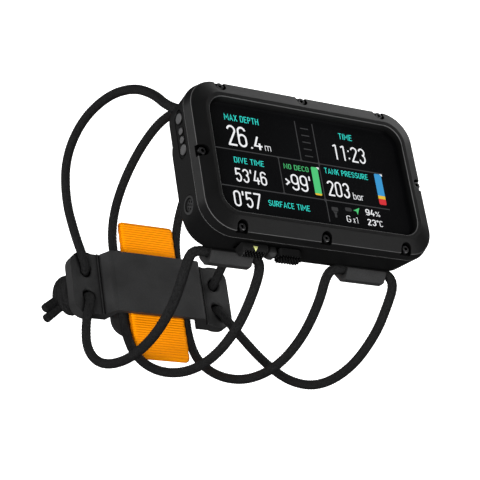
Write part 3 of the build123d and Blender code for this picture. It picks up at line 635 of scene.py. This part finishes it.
def knot_strand(bungee, hole_y, tail_end):
    """One bungee end: down through its hole, wound round under the plate and out as a tail."""
    hole_x = bungee["route"][0][0]
    centre_x, centre_y = bungee["centre"]
    outward = bungee["outward"]
    side = 1 if hole_y > 0 else -1
    points = [(hole_x, hole_y, PLATE_BOTTOM + rise) for rise in (1.5, -0.4)]
    count = round(KNOT_TURNS * KNOT_POINTS_PER_TURN)
    for index in range(count + 1):
        share = index / count
        angle = side * outward * (pi / 2) - outward * 2 * pi * KNOT_TURNS * share
        size_x, size_y = (
            top + (bottom - top) * share for top, bottom in zip(KNOT_RADII_TOP, KNOT_RADII_BOTTOM)
        )
        points.append((
            centre_x - size_x * cos(angle),
            centre_y + size_y * sin(angle) * outward,
            KNOT_TOP + (KNOT_BOTTOM - KNOT_TOP) * share,
        ))
    last = Vector(points[-1])
    tail = Vector(tail_end)
    inner = Vector((centre_x, centre_y + side * TAIL_START_Y, KNOT_BOTTOM - TAIL_START_DROP))
    for start, end, share in ((last, inner, 0.75), (inner, tail, 0.25), (inner, tail, 0.6)):
        points.append(tuple(start.lerp(end, share)))
    points.append(tail_end)
    return points


def joined(tubes):
    """Several tubes as one set of points, faces and UV."""
    vertices, faces, uvs = [], [], []
    for tube_vertices, tube_faces, tube_uv in tubes:
        first = len(vertices)
        vertices += tube_vertices
        faces += [tuple(first + corner for corner in face) for face in tube_faces]
        uvs.append(tube_uv)
    return vertices, faces, np.concatenate(uvs)


for side, bungee in bungees.items():
    strands = [
        braided_tube(spline_points(knot_strand(bungee, hole_y, tail_end)), KNOT_RADIUS)
        for hole_y, tail_end in zip((HOLE_Y, -HOLE_Y), bungee["tails"])
    ]
    knot = paint(new_piece(f"{side}_tied_knot", *joined(strands)), braided_sleeve)
    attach(knot, "buckle")
    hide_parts(f"{side}_knot")

    line = spline_points(bungee["route"])
    sleeve = new_piece(f"{side}_bungee_sleeve", *braided_tube(line, CORD_DIAMETER / 2))
    paint(sleeve, braided_sleeve)
    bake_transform(sleeve)
    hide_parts(f"{side}_bungee")

# ------------------------------------------------------------------ pull tab
WEB_WIDTH = 25.4
WEB_X = -8.4
WEB_MIDDLE_Y = -0.9
WEB_MIDDLE_Z = -86.4
WEB_HALF_LENGTH = 31.7
WEB_HALF_HEIGHT = 1.8
WEB_THICKNESS = 1.4
RIB_PITCH = 1.12
RIB_DEPTH = 0.2
WEB_ACROSS = 30
POINTS_PER_RIB = 8
SELVEDGE_SHARPNESS = 24
SELVEDGE_WAVE = 0.08


def webbing_line():
    """The flattened loop that the webbing's middle follows, as points and outward normals."""
    bend = WEB_HALF_HEIGHT - WEB_THICKNESS / 2
    straight = WEB_HALF_LENGTH - WEB_HALF_HEIGHT
    total = 4 * straight + 2 * pi * bend
    rib_count = round(total / RIB_PITCH)
    places = np.linspace(0, total, rib_count * POINTS_PER_RIB, endpoint=False)
    points, normals = [], []
    for place in places:
        if place < 2 * straight:
            points.append((straight - place, bend))
            normals.append((0.0, 1.0))
        elif place < 2 * straight + pi * bend:
            turn = pi / 2 + (place - 2 * straight) / bend
            points.append((-straight + bend * cos(turn), bend * sin(turn)))
            normals.append((cos(turn), sin(turn)))
        elif place < 4 * straight + pi * bend:
            points.append((-straight + place - 2 * straight - pi * bend, -bend))
            normals.append((0.0, -1.0))
        else:
            turn = -pi / 2 + (place - 4 * straight - pi * bend) / bend
            points.append((straight + bend * cos(turn), bend * sin(turn)))
            normals.append((cos(turn), sin(turn)))
    return np.array(points), np.array(normals), places / total * rib_count


def webbing_loop():
    """The ribbed webbing as a closed band with rounded selvedges."""
    points, normals, ribs = webbing_line()
    rib = 0.5 + 0.5 * np.cos(2 * pi * ribs)
    edge = np.linspace(-1, 1, WEB_ACROSS)
    half_width = WEB_WIDTH / 2
    vertices, uv = [], []
    ring = 2 * WEB_ACROSS
    for (y, z), (ny, nz), lift, count in zip(points, normals, rib, ribs):
        for layer, order in ((1, edge), (-1, edge[::-1])):
            for share in order:
                thin = sqrt(max(0.0, 1 - abs(share) ** SELVEDGE_SHARPNESS))
                half_thickness = WEB_THICKNESS / 2 * (0.25 + 0.75 * thin)
                away = layer * (half_thickness - RIB_DEPTH * (1 - lift) * thin)
                wobble = SELVEDGE_WAVE * sin(count * 1.7) * share
                vertices.append((
                    (WEB_X + share * half_width + wobble) * MM,
                    (WEB_MIDDLE_Y + y + ny * away) * MM,
                    (WEB_MIDDLE_Z + z + nz * away) * MM,
                ))
                uv.append((count, 0.5 + 0.5 * share))
    faces = rings_to_faces(len(points), ring)
    last = (len(points) - 1) * ring
    for point in range(ring):
        following = (point + 1) % ring
        faces.append((last + point, last + following, following, point))
    return new_piece("webbing_pull_tab", vertices, faces, uv=uv)


webbing = paint(webbing_loop(), orange_webbing)
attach(webbing, "buckle")
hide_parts("pull_tab")

# ------------------------------------------------------------------ button caps
BUTTON_Z = 16.3
KNURL_PITCH = 1.25
KNURL_DEPTH = 0.6


def knurl(first, second):
    """Height of a field of diamond pyramids, 0 in the grooves to 1 at the points."""
    slants = ((first + 0.7 * second) / KNURL_PITCH, (first - 0.7 * second) / KNURL_PITCH)
    heights = [1 - abs(2 * (slant - np.floor(slant)) - 1) for slant in slants]
    return np.minimum(heights[0], heights[1])


def eased(value, low, high):
    """0 below low, 1 above high and a smooth step between them."""
    share = np.clip((value - low) / (high - low), 0, 1)
    return share * share * (3 - 2 * share)


DRUM_X = -27.3
DRUM_LENGTH = 11.2
DRUM_RADIUS = 3.2
DRUM_AXIS_Y = -32.8
CAP_BACK_Y = -31.5
DRUM_CHAMFER = 1.3

CHAMFER_FADE = (25, 75)
KNURL_LOWEST = (-84, -74)
KNURL_HIGHEST = (52, 60)
SMOOTH_TONE = 0.6


def drum_cap():
    """The left button: a drum cut flat at the back, knurled on its outer lower side."""
    end, shoulder = DRUM_LENGTH / 2, DRUM_LENGTH / 2 - DRUM_CHAMFER
    stations = np.unique(np.concatenate([
        np.linspace(-end, -shoulder, 8),
        np.linspace(-shoulder, shoulder, 90),
        np.linspace(shoulder, end, 8),
    ]))
    around = 170
    widest = acos((DRUM_AXIS_Y - CAP_BACK_Y) / DRUM_RADIUS)
    angles = np.linspace(-widest, widest, around)
    turned = np.degrees(angles)
    vertices, uv = [], []
    for station in stations:
        from_end = end - abs(station)
        radius = DRUM_RADIUS - max(0.0, DRUM_CHAMFER - from_end) * (1 - eased(turned, *CHAMFER_FADE))
        patterned = eased(from_end, DRUM_CHAMFER - 0.5, DRUM_CHAMFER + 0.4)
        patterned = patterned * (1 - eased(turned, *KNURL_HIGHEST)) * eased(turned, *KNURL_LOWEST)
        grooves = (1 - knurl(station, angles * DRUM_RADIUS)) * patterned
        # the UV carries the knurl height that sets the painted shade in the grooves
        for groove, share in zip(grooves, patterned):
            uv.append((0.95 - 0.9 * groove if share > 0.1 else SMOOTH_TONE, 0.0))
        for angle, size in zip(angles, radius - KNURL_DEPTH * grooves):
            vertices.append((
                (DRUM_X + station) * MM,
                (DRUM_AXIS_Y - size * cos(angle)) * MM,
                (BUTTON_Z + size * sin(angle)) * MM,
            ))
    return new_piece("left_knurled_cap", vertices, closed_faces(len(stations), around), uv, smooth=False)


PAD_X = -11.3
PAD_HALF = (5.45, 2.8)
PAD_CORNER = 2.0
PAD_BACK_Y = -34.65
PAD_FRONT_Y = -36.1
PAD_ROUNDING = 0.9
NECK_HALF = (4.6, 2.8)
NECK_CORNER = 1.0
PAD_POINTS_AROUND = 200
PAD_FRONT_STEPS = 34
CORNER_STEPS = 64
CORNERS_CUT_OFF = 1.72


def rounded_outline(half_x, half_z, radius):
    """Points on the four corner arcs of a rounded rectangle, evenly spaced by angle."""
    radius = min(radius, half_x, half_z)
    points = []
    corners = ((1, 1, 0), (-1, 1, 90), (-1, -1, 180), (1, -1, 270))
    for sign_x, sign_z, start in corners:
        middle_x, middle_z = sign_x * (half_x - radius), sign_z * (half_z - radius)
        for step in range(CORNER_STEPS):
            angle = radians(start + 90 * (step + 0.5) / CORNER_STEPS)
            points.append((middle_x + radius * cos(angle), middle_z + radius * sin(angle)))
    return np.array(points)


def pad_outline(half, inset, corner):
    """Evenly spaced points round a rounded rectangle that is drawn in by the inset."""
    fine = rounded_outline(half[0] - inset, half[1] - inset, corner)
    closed = np.vstack([fine, fine[:1]])
    places = np.linspace(0, distances(closed)[-1], PAD_POINTS_AROUND, endpoint=False)
    return points_at(closed, places)


def drawn_in(outline, depths):
    """An outline with each point moved towards the middle by its own depth."""
    outward = outline / np.maximum(np.linalg.norm(outline, axis=1), 1e-6)[:, None]
    return outline - outward * depths[:, None]


def pad_cap():
    """The right button: a smooth neck that carries a knurled pad."""
    around = PAD_POINTS_AROUND
    plain = np.full(around, 0.62)
    rings = []
    for half, inset, corner, y in (
        (NECK_HALF, 0.3, NECK_CORNER, CAP_BACK_Y),
        (NECK_HALF, 0.0, NECK_CORNER, CAP_BACK_Y - 0.3),
        (NECK_HALF, 0.0, NECK_CORNER, PAD_BACK_Y + 0.1),
        (PAD_HALF, 0.3, PAD_CORNER - 0.3, PAD_BACK_Y + 0.05),
        (PAD_HALF, 0.05, PAD_CORNER - 0.05, PAD_BACK_Y - 0.05),
    ):
        rings.append((pad_outline(half, inset, corner), np.full(around, y), plain))
    outline = pad_outline(PAD_HALF, 0.0, PAD_CORNER)
    perimeter = np.arange(around) / around * 2 * (2 * PAD_HALF[0] + 2 * PAD_HALF[1] - CORNERS_CUT_OFF)
    for share in np.linspace(0.15, 1.0, 6):
        y = np.full(around, PAD_BACK_Y + share * (PAD_FRONT_Y + PAD_ROUNDING - PAD_BACK_Y))
        height = knurl(perimeter, y)
        rings.append((drawn_in(outline, KNURL_DEPTH * (1 - height)), y, height))
    for step in range(1, PAD_FRONT_STEPS):
        inset = (PAD_HALF[1] - 0.15) * step / (PAD_FRONT_STEPS - 1)
        drop = PAD_ROUNDING - sqrt(max(0.0, PAD_ROUNDING**2 - max(0.0, PAD_ROUNDING - inset) ** 2))
        outline = pad_outline(PAD_HALF, inset, max(PAD_CORNER - inset, 0.1))
        height = knurl(outline[:, 0], outline[:, 1] + drop)
        y = PAD_FRONT_Y + drop + KNURL_DEPTH * (1 - height)
        side_share = max(0.0, 1 - inset / PAD_ROUNDING)
        rings.append((drawn_in(outline, KNURL_DEPTH * (1 - height) * side_share), y, height))
    vertices = [
        ((PAD_X + x) * MM, y * MM, (BUTTON_Z + z) * MM)
        for outline, levels, _ in rings
        for (x, z), y in zip(outline, levels)
    ]
    # the UV carries the knurl height that sets the painted shade in the grooves
    uv = [(0.95 * height, 0.0) for _, _, heights in rings for height in heights]
    return new_piece("right_knurled_cap", vertices, closed_faces(len(rings), around), uv, smooth=False)


for side, cap in (("left", drum_cap()), ("right", pad_cap())):
    paint(cap, knurled_plastic)
    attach(cap, f"{side}_button")
    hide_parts(f"{side}_button_cap")


def return_spring(side):
    """A copy of the CAD spring, fixed to the case."""
    node = nodes[f"{side}_button_spring"]
    wire = node.data.copy()
    wire.transform(node.matrix_world)
    spring = paint(placed(f"{side}_return_spring", wire), inner_steel)
    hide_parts(f"{side}_button_spring")
    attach(spring, "case")
    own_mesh(spring)


for side in ("left", "right"):
    return_spring(side)


POINTER_ROWS = 8
POINTER_START, POINTER_TURN = 0.02, 0.56
POINTER_HALF = 1.1
POINTER_TAPER = 0.96
POINTER_PROUD, POINTER_SUNK = 0.08, -0.3


def triangle_mark():
    """A small raised pointer that wraps over the smooth top of the left button."""
    vertices = []
    for row in range(POINTER_ROWS + 1):
        angle = POINTER_START + POINTER_TURN * row / POINTER_ROWS
        half = POINTER_HALF * (1 - POINTER_TAPER * row / POINTER_ROWS)
        for x, lift in (
            (-half, POINTER_SUNK), (-half, POINTER_PROUD), (half, POINTER_PROUD), (half, POINTER_SUNK),
        ):
            size = DRUM_RADIUS + lift
            vertices.append((
                (DRUM_X + x) * MM,
                (DRUM_AXIS_Y - size * sin(angle)) * MM,
                (BUTTON_Z + size * cos(angle)) * MM,
            ))
    return new_piece("pointer_mark", vertices, closed_faces(POINTER_ROWS + 1, 4), smooth=False)


pointer_paint = moulded("pointer_paint", (0.72, 0.76, 0.28), 0.5, 3000.0, 0.01 * MM, 0.0)
pointer = paint(triangle_mark(), pointer_paint)
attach(pointer, "left_button")

# ------------------------------------------------------------------ screen
SCREEN_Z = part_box("glass")[1].z / MM + 0.02
INK = 0.02
teal = lit("screen_teal", (0.035, 0.72, 0.62), 1.15)
white = lit("screen_white", (0.93, 0.94, 0.96), 1.0)
green = lit("screen_green", (0.10, 0.72, 0.24), 0.8)
amber = lit("screen_amber", (0.95, 0.62, 0.05))
sky = lit("screen_sky", (0.06, 0.42, 0.85), 0.75)
red = lit("screen_red", (0.80, 0.04, 0.05))
line_grey = lit("screen_line", (0.05, 0.05, 0.052), 0.9)
dim_grey = lit("screen_dim", (0.05, 0.05, 0.052), 0.8)


def on_screen(piece, material):
    paint(piece, material)
    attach(piece, "case")
    return piece


def slab(name, outlines, material):
    """Flat shapes on the screen, each an outline in millimetres, a hair thick."""
    vertices, faces = [], []
    for outline in outlines:
        first, count = len(vertices), len(outline)
        for z in (SCREEN_Z, SCREEN_Z + INK):
            vertices += [(x * MM, y * MM, z * MM) for x, y in outline]
        faces.append(tuple(range(first, first + count))[::-1])
        faces.append(tuple(range(first + count, first + 2 * count)))
        faces += rings_to_faces(2, count, first)
    return on_screen(new_piece(name, vertices, faces, smooth=False), material)


def ribbon(points, width, closed=False):
    """Outlines of a line drawn with a pen of that width, one quad for each run."""
    line = np.array(points, float)
    if closed:
        line = np.vstack([line, line[:1]])
    runs = np.diff(line, axis=0)
    runs /= np.maximum(np.linalg.norm(runs, axis=1), 1e-9)[:, None]
    sides = np.stack([-runs[:, 1], runs[:, 0]], axis=1)
    before = np.vstack([sides[-1:] if closed else sides[:1], sides])
    after = np.vstack([sides, sides[:1] if closed else sides[-1:]])
    mitre = before + after
    mitre /= np.maximum(np.linalg.norm(mitre, axis=1), 1e-9)[:, None]
    reach = width / 2 / np.maximum((mitre * after).sum(1), 0.5)
    left, right = line + mitre * reach[:, None], line - mitre * reach[:, None]
    return [
        [tuple(right[i]), tuple(right[i + 1]), tuple(left[i + 1]), tuple(left[i])]
        for i in range(len(line) - 1)
    ]


def bow(centre_x, centre_y, size_x, size_y, start, end, steps=14):
    """Points along part of an ellipse, angles in degrees."""
    return [
        (
            centre_x + size_x * cos(radians(start + (end - start) * step / steps)),
            centre_y + size_y * sin(radians(start + (end - start) * step / steps)),
        )
        for step in range(steps + 1)
    ]


def drawn(*runs):
    """Open pen strokes."""
    return [(run, False) for run in runs]


def looped(*runs):
    """Closed pen strokes."""
    return [(run, True) for run in runs]


USUAL_WIDTH = 0.47
widths = {
    ":": 0.16, ".": 0.14, "'": 0.15, ">": 0.28, " ": 0.2, "%": 0.72, "°": 0.26,
    "A": 0.56, "D": 0.5, "E": 0.44, "F": 0.44, "H": 0.52, "I": 0.13, "K": 0.52, "M": 0.68,
    "N": 0.57, "R": 0.5, "T": 0.48, "V": 0.56, "X": 0.54,
    "a": 0.44, "b": 0.44, "m": 0.84, "r": 0.3, "x": 0.42,
}
NUMBER_SIGNS = "0123456789:.'>"
NUMBER_GAP, LETTER_GAP = 0.085, 0.13
SMALL = 0.72


def glyph(character, pen):
    """Pen strokes of a plain round-shouldered digit, letter or sign: (points, closed).

    Digits and capitals are one unit high, small letters SMALL of a unit.
    """
    width = widths.get(character, USUAL_WIDTH)
    left, right, base, top = pen / 2, width - pen / 2, pen / 2, 1 - pen / 2
    middle, round_x, low = width / 2, (width - pen) / 2, SMALL - pen / 2

    def dome(height, start, end):
        """Part of a circle as wide as the character, below that height."""
        return bow(middle, height - round_x, round_x, round_x, start, end)

    cup = bow(middle, base + round_x, round_x, round_x, 180, 360)
    arch = dome(top, 0, 180)
    ring = dome(low, 0, 180) + cup
    six = dome(top, 12, 180) + cup + dome(0.6, 0, 180)
    bowl_size = (top - 0.46) / 2
    bowl = bow(right - bowl_size, top - bowl_size, bowl_size, bowl_size, 90, -90)
    loop_of_p = [(left, 0), (left, top)] + bowl + [(left, 0.46)]
    turn = (top - base) / 4
    stem = middle + 0.07
    shapes = {
        "0": looped(arch + cup),
        "1": drawn([(stem, 0), (stem, top)], [(stem, top), (stem - 0.2, top - 0.1)]),
        "2": drawn(
            dome(top, 172, -22)
            + [(left + 0.015, base + 0.02), (left + 0.015, base), (right + pen / 2, base)]
        ),
        "3": drawn(
            bow(middle, top - 0.225, round_x, 0.225, 165, -80),
            bow(middle, base + 0.26, round_x, 0.26, 85, -165),
        ),
        "4": drawn(
            [(middle + 0.03, 1.0), (left, 0.27), (width + 0.03, 0.27)],
            [(width - 0.13, 0.5), (width - 0.13, 0.0)],
        ),
        "5": drawn(
            [(right, top), (left + 0.03, top), (left + 0.01, 0.5)],
            bow(middle, base + 0.285, round_x, 0.285, 140, -160),
        ),
        "6": drawn(six),
        "7": drawn([(left - pen / 2, top), (right, top), (right, top - 0.05), (middle - 0.1, 0)]),
        "9": drawn([(width - x, 1 - y) for x, y in six]),
        ":": drawn(*([(0.08, y - pen / 2), (0.08, y + pen / 2)] for y in (0.2, 0.68))),
        ".": drawn([(0.07, 0.0), (0.07, pen)]),
        "'": drawn([(0.075, 0.74), (0.075, 1.0)]),
        ">": drawn([(0.03, 0.64), (0.24, 0.46), (0.03, 0.28)]),
        " ": [],
        "A": drawn([(left, 0), (middle, top), (right, 0)], [(left + 0.07, 0.28), (right - 0.07, 0.28)]),
        "C": drawn(arch[1:] + cup[:-1]),
        "D": looped(
            [(left, base), (left, top)] + bow(right - 0.2, top - 0.2, 0.2, 0.2, 90, 0)
            + bow(right - 0.2, base + 0.2, 0.2, 0.2, 0, -90)
        ),
        "E": drawn([(width, top), (left, top), (left, base), (width, base)], [(left, 0.52), (right, 0.52)]),
        "F": drawn([(width, top), (left, top), (left, 0)], [(left, 0.5), (right, 0.5)]),
        "G": drawn(arch[1:] + cup + [(right, 0.45), (middle, 0.45)]),
        "H": drawn(*([(x, 0), (x, 1)] for x in (left, right)), [(left, 0.5), (right, 0.5)]),
        "I": drawn([(middle, 0), (middle, 1)]),
        "K": drawn([(left, 0), (left, 1)], [(right, 1), (left, 0.42)], [(middle, 0.6), (right, 0)]),
        "M": drawn([(left, 0), (left, top), (middle, 0.35), (right, top), (right, 0)]),
        "N": drawn([(left, 0), (left, top), (right, base), (right, 1)]),
        "O": looped(arch + cup),
        "P": drawn(loop_of_p),
        "R": drawn(loop_of_p, [(middle, 0.46), (right, 0)]),
        "S": drawn(
            bow(middle, top - turn, round_x, turn, 20, 270)
            + bow(middle, base + turn, round_x, turn, 90, -160)
        ),
        "T": drawn([(0, top), (width, top)], [(middle, 0), (middle, top)]),
        "U": drawn([(left, 1)] + cup + [(right, 1)]),
        "V": drawn([(left, 1), (middle, base), (right, 1)]),
        "X": drawn([(left, 0), (right, 1)], [(left, 1), (right, 0)]),
        "a": looped(ring) + drawn([(right, 0), (right, low)]),
        "b": looped(ring) + drawn([(left, 0), (left, 1)]),
        "m": drawn([(left, 0), (left, SMALL)], *(
            [(x, low - 0.12), (x + 0.06, low), (x + round_x - 0.06, low), (x + round_x, low - 0.12),
             (x + round_x, 0)]
            for x in (left, middle)
        )),
        "r": drawn([(left, 0), (left, SMALL)], [(left, low - 0.12), (left + 0.08, low), (width, low)]),
        "x": drawn([(left, 0), (right, SMALL)], [(left, SMALL), (right, 0)]),
        "%": drawn([(left + 0.08, 0), (right - 0.08, 1)]) + looped(
            bow(0.14, 0.78, 0.1, 0.16, 0, 330), bow(width - 0.14, 0.22, 0.1, 0.16, 0, 330),
        ),
        "°": looped(bow(middle, 0.86, 0.1, 0.1, 0, 330)),
    }
    return shapes[character]


def lettering(name, text, left, base, height, width, pen, material):
    """Digits and letters drawn with a pen, fitted to a height and a width in millimetres."""
    strokes, at = [], 0.0
    for character in text:
        for points, closed in glyph(character, pen):
            strokes.append(([(at + x, y) for x, y in points], closed))
        gap = NUMBER_GAP if character in NUMBER_SIGNS else LETTER_GAP
        at += widths.get(character, USUAL_WIDTH) + gap
    across = width / (at - NUMBER_GAP)
    outlines = []
    for points, closed in strokes:
        for quad in ribbon(points, pen, closed):
            outlines.append([(left + x * across, base + y * height) for x, y in quad])
    return slab(name, outlines, material)


# name, text, left, base, height, width in millimetres, and the pen as a share of the height
readouts = (
    ("readout_depth", "26", -36.4, 5.1, 8.8, 8.5, 0.092),
    ("readout_depth_part", ".4", -26.6, 5.1, 5.6, 5.1, 0.11),
    ("readout_clock", "11:23", 11.2, 6.6, 6.8, 15.8, 0.092),
    ("readout_dive_time", "53'46", -35.6, -10.2, 5.8, 13.7, 0.1),
    ("readout_surface_time", "0'57", -37.9, -20.7, 6.6, 11.9, 0.1),
    ("readout_no_deco", ">99'", -13.4, -10.2, 7.0, 11.8, 0.092),
    ("readout_pressure", "203", 5.8, -10.2, 6.6, 10.2, 0.1),
    ("readout_charge", "94", 21.9, -16.4, 2.7, 4.1, 0.125),
    ("readout_temperature", "23", 21.9, -20.7, 2.7, 4.1, 0.125),
    ("label_metres", "m", -20.2, 5.2, 3.0, 2.8, 0.075),
    ("label_bar", "bar", 17.4, -10.2, 2.9, 5.0, 0.08),
    ("label_percent", "%", 26.5, -16.4, 2.2, 2.3, 0.09),
    ("label_celsius", "°C", 26.4, -20.7, 2.6, 2.9, 0.1),
    ("label_gas", "G", 12.2, -20.6, 2.8, 2.1, 0.08),
    ("label_gas_count", "x1", 15.2, -20.6, 2.6, 2.5, 0.08),
)
for name, text, left, base, height, width, pen in readouts:
    lettering(name, text, left, base, height, width, pen, white)

LABEL_PEN = 0.1
labels = (
    ("label_max_depth", "MAX DEPTH", -36.5, 16.0, 2.7, 15.3, teal),
    ("label_dive_time", "DIVE TIME", -35.1, -2.1, 2.4, 13.2, teal),
    ("label_surface_time", "SURFACE TIME", -22.8, -18.5, 2.4, 18.6, teal),
    ("label_time", "TIME", 15.8, 16.2, 2.6, 6.4, teal),
    ("label_tank_pressure", "TANK PRESSURE", 5.8, -0.5, 2.4, 20.6, teal),
    ("label_no_deco", "NO DECO", -13.0, -1.3, 2.2, 11.4, green),
)
for name, text, left, base, height, width, material in labels:
    lettering(name, text, left, base, height, width, LABEL_PEN, material)

LINE = 0.42
UPPER_Y, LOWER_Y = 3.3, -12.4
LEFT_EDGE, RIGHT_EDGE, TOP_EDGE, BOTTOM_EDGE = -42.3, 34.0, 20.8, -21.6
MEETING_RADIUS = 1.5
QUARTERS = ((1, 1), (-1, 1), (-1, -1), (1, -1))
short_lines = (
    (-4.25, UPPER_Y, TOP_EDGE), (3.85, UPPER_Y, TOP_EDGE), (-14.85, LOWER_Y, UPPER_Y),
    (3.7, LOWER_Y, UPPER_Y), (3.95, BOTTOM_EDGE, LOWER_Y),
)
meetings = (
    (-4.25, UPPER_Y, QUARTERS[:2]), (3.85, UPPER_Y, QUARTERS), (-14.85, UPPER_Y, QUARTERS[2:]),
    (-14.85, LOWER_Y, QUARTERS[:2]), (3.75, LOWER_Y, QUARTERS),
)


def cell_lines():
    """Two long lines across, the short ones between them and small fillets where they meet."""
    outlines = []
    for y in (UPPER_Y, LOWER_Y):
        outlines += ribbon([(LEFT_EDGE, y), (RIGHT_EDGE, y)], LINE)
    for x, low, high in short_lines:
        outlines += ribbon([(x, low), (x, high)], LINE)
    for x, y, quarters in meetings:
        for sign_x, sign_y in quarters:
            arc = [
                (x + sign_x * MEETING_RADIUS * (1 - sin(radians(a))),
                 y + sign_y * MEETING_RADIUS * (1 - cos(radians(a))))
                for a in range(0, 91, 15)
            ]
            outlines.append([(x, y)] + (arc if sign_x * sign_y < 0 else arc[::-1]))
    return outlines


TICK_TOP, TICK_STEP, TICK_COUNT = 18.0, 3.03, 5
TICK_LEFT, TICK_RIGHT = -2.1, 1.6


def ascent_ticks():
    """The short marks of the ascent gauge, one under another."""
    outlines = []
    for step in range(TICK_COUNT):
        y = TICK_TOP - TICK_STEP * step
        outlines += ribbon([(TICK_LEFT, y), (TICK_RIGHT, y)], LINE)
    return outlines


slab("screen_cell_lines", cell_lines(), line_grey)
slab("screen_ascent_ticks", ascent_ticks(), line_grey)


def bar_outline(left, right, low, high, round_low=0.0, round_high=0.0):
    """A bar with rounded upper or lower corners."""
    outline = []
    for x, y, radius, start in (
        (right, high, round_high, 0), (left, high, round_high, 90),
        (left, low, round_low, 180), (right, low, round_low, 270),
    ):
        if radius:
            centre_x = x - radius if start in (0, 270) else x + radius
            centre_y = y - radius if start in (0, 90) else y + radius
            outline += bow(centre_x, centre_y, radius, radius, start, start + 90, 5)
        else:
            outline.append((x, y))
    return outline


slab("no_deco_bar", [bar_outline(-0.45, 2.65, -10.0, 1.35, 0.0, 0.6)], green)
slab("no_deco_bar_foot", [bar_outline(-0.45, 2.65, -10.8, -10.05, 0.5)], amber)
slab("pressure_bar_full", [bar_outline(29.65, 33.0, -6.7, 2.9, 0.0, 0.6)], sky)
slab("pressure_bar_reserve", [bar_outline(29.65, 33.0, -8.15, -6.75)], amber)
slab("pressure_bar_low", [bar_outline(29.65, 33.0, -10.7, -8.2, 0.6)], red)
slab("bar_pointers", [
    [(2.0, 1.5), (3.3, 1.5), (3.3, 0.5)], [(32.3, 3.0), (33.5, 3.0), (33.5, 2.0)],
], white)
slab("heading_arrow", [[(19.2, -13.7), (16.1, -15.2), (17.5, -15.4), (17.9, -16.8)]], green)
slab("torch_icon", [
    bar_outline(5.9, 8.9, -16.6, -15.0, 0.3, 0.3),
    [(6.4, -16.8), (8.4, -16.8), (7.9, -17.8), (6.9, -17.8)],
    bar_outline(6.9, 7.9, -19.4, -17.9, 0.3),
], dim_grey)
slab("signal_icon", [bar_outline(12.3, 15.4, -15.9, -14.3, 0.7, 0.7)], dim_grey)

# ------------------------------------------------------------------ floor and light
FLOOR_Z = -0.42
FLOOR_HALF = 25.0
WORLD_STRENGTH = 0.045
FLOOR_GLOW = 1.1
CASE_CENTRE = Vector((0.0, 0.0, 0.015))


def add_world():
    """A faint even white light from all round."""
    world = bpy.data.worlds.new("studio")
    world.use_nodes = True
    background = world.node_tree.nodes["Background"]
    background.inputs["Color"].default_value = (1.0, 1.0, 1.0, 1.0)
    background.inputs["Strength"].default_value = WORLD_STRENGTH
    bpy.context.scene.world = world
    bpy.context.scene.view_settings.view_transform = "Standard"


def floor_material():
    """Pale paint that glows a little, so that the ground behind the object stays white."""
    material, tree, shader = start_material("floor_paint")
    tone = ramp(tree, noise(tree, 3.0), (0.3, (0.86, 0.86, 0.86)), (0.7, (0.9, 0.9, 0.9)))
    feed(tree, shader, {
        "Base Color": tone, "Emission Color": tone, "Emission Strength": FLOOR_GLOW, "Roughness": 0.9,
    })
    return material


def add_floor():
    """A wide pale floor that adds no light to the object and doesn't show in its gloss."""
    corners = [(x * FLOOR_HALF, y * FLOOR_HALF, FLOOR_Z) for x, y in ((-1, -1), (1, -1), (1, 1), (-1, 1))]
    floor = paint(new_piece("floor", corners, [(0, 1, 2, 3)], smooth=False), floor_material())
    floor.visible_diffuse = False
    floor.visible_glossy = False


def soft_light(name, direction, distance, size, power, in_gloss=True):
    """A soft box at a distance from the case in a direction, facing it."""
    lamp = bpy.data.lights.new(name, "AREA")
    lamp.shape = "RECTANGLE"
    lamp.size, lamp.size_y = size
    lamp.energy = power
    holder = placed(name, lamp)
    away = Vector(direction).normalized()
    holder.location = CASE_CENTRE + away * distance
    holder.visible_glossy = in_gloss
    turn_to(holder, away.to_track_quat("Z", "Y"))


add_world()
add_floor()
soft_light("key", (0.66, 0.72, 0.22), 0.9, (0.7, 0.45), 1.9)
soft_light("fill", (-0.75, -0.45, 0.5), 0.9, (0.6, 0.6), 14.5, in_gloss=False)
soft_light("back_fill", (0.62, 0.74, 0.26), 0.9, (0.6, 0.6), 4.0, in_gloss=False)
soft_light("side", (0.56, -0.30, 0.77), 0.9, (0.4, 0.4), 1.0)
soft_light("left_rim", (-0.85, 0.43, -0.3), 0.9, (0.3, 0.3), 0.8)
soft_light("lower_rim", (0.5, -0.8, 0.3), 0.9, (0.25, 0.25), 0.9)
soft_light("under", (-0.34, 0.43, -0.84), 0.42, (0.2, 0.2), 0.03)
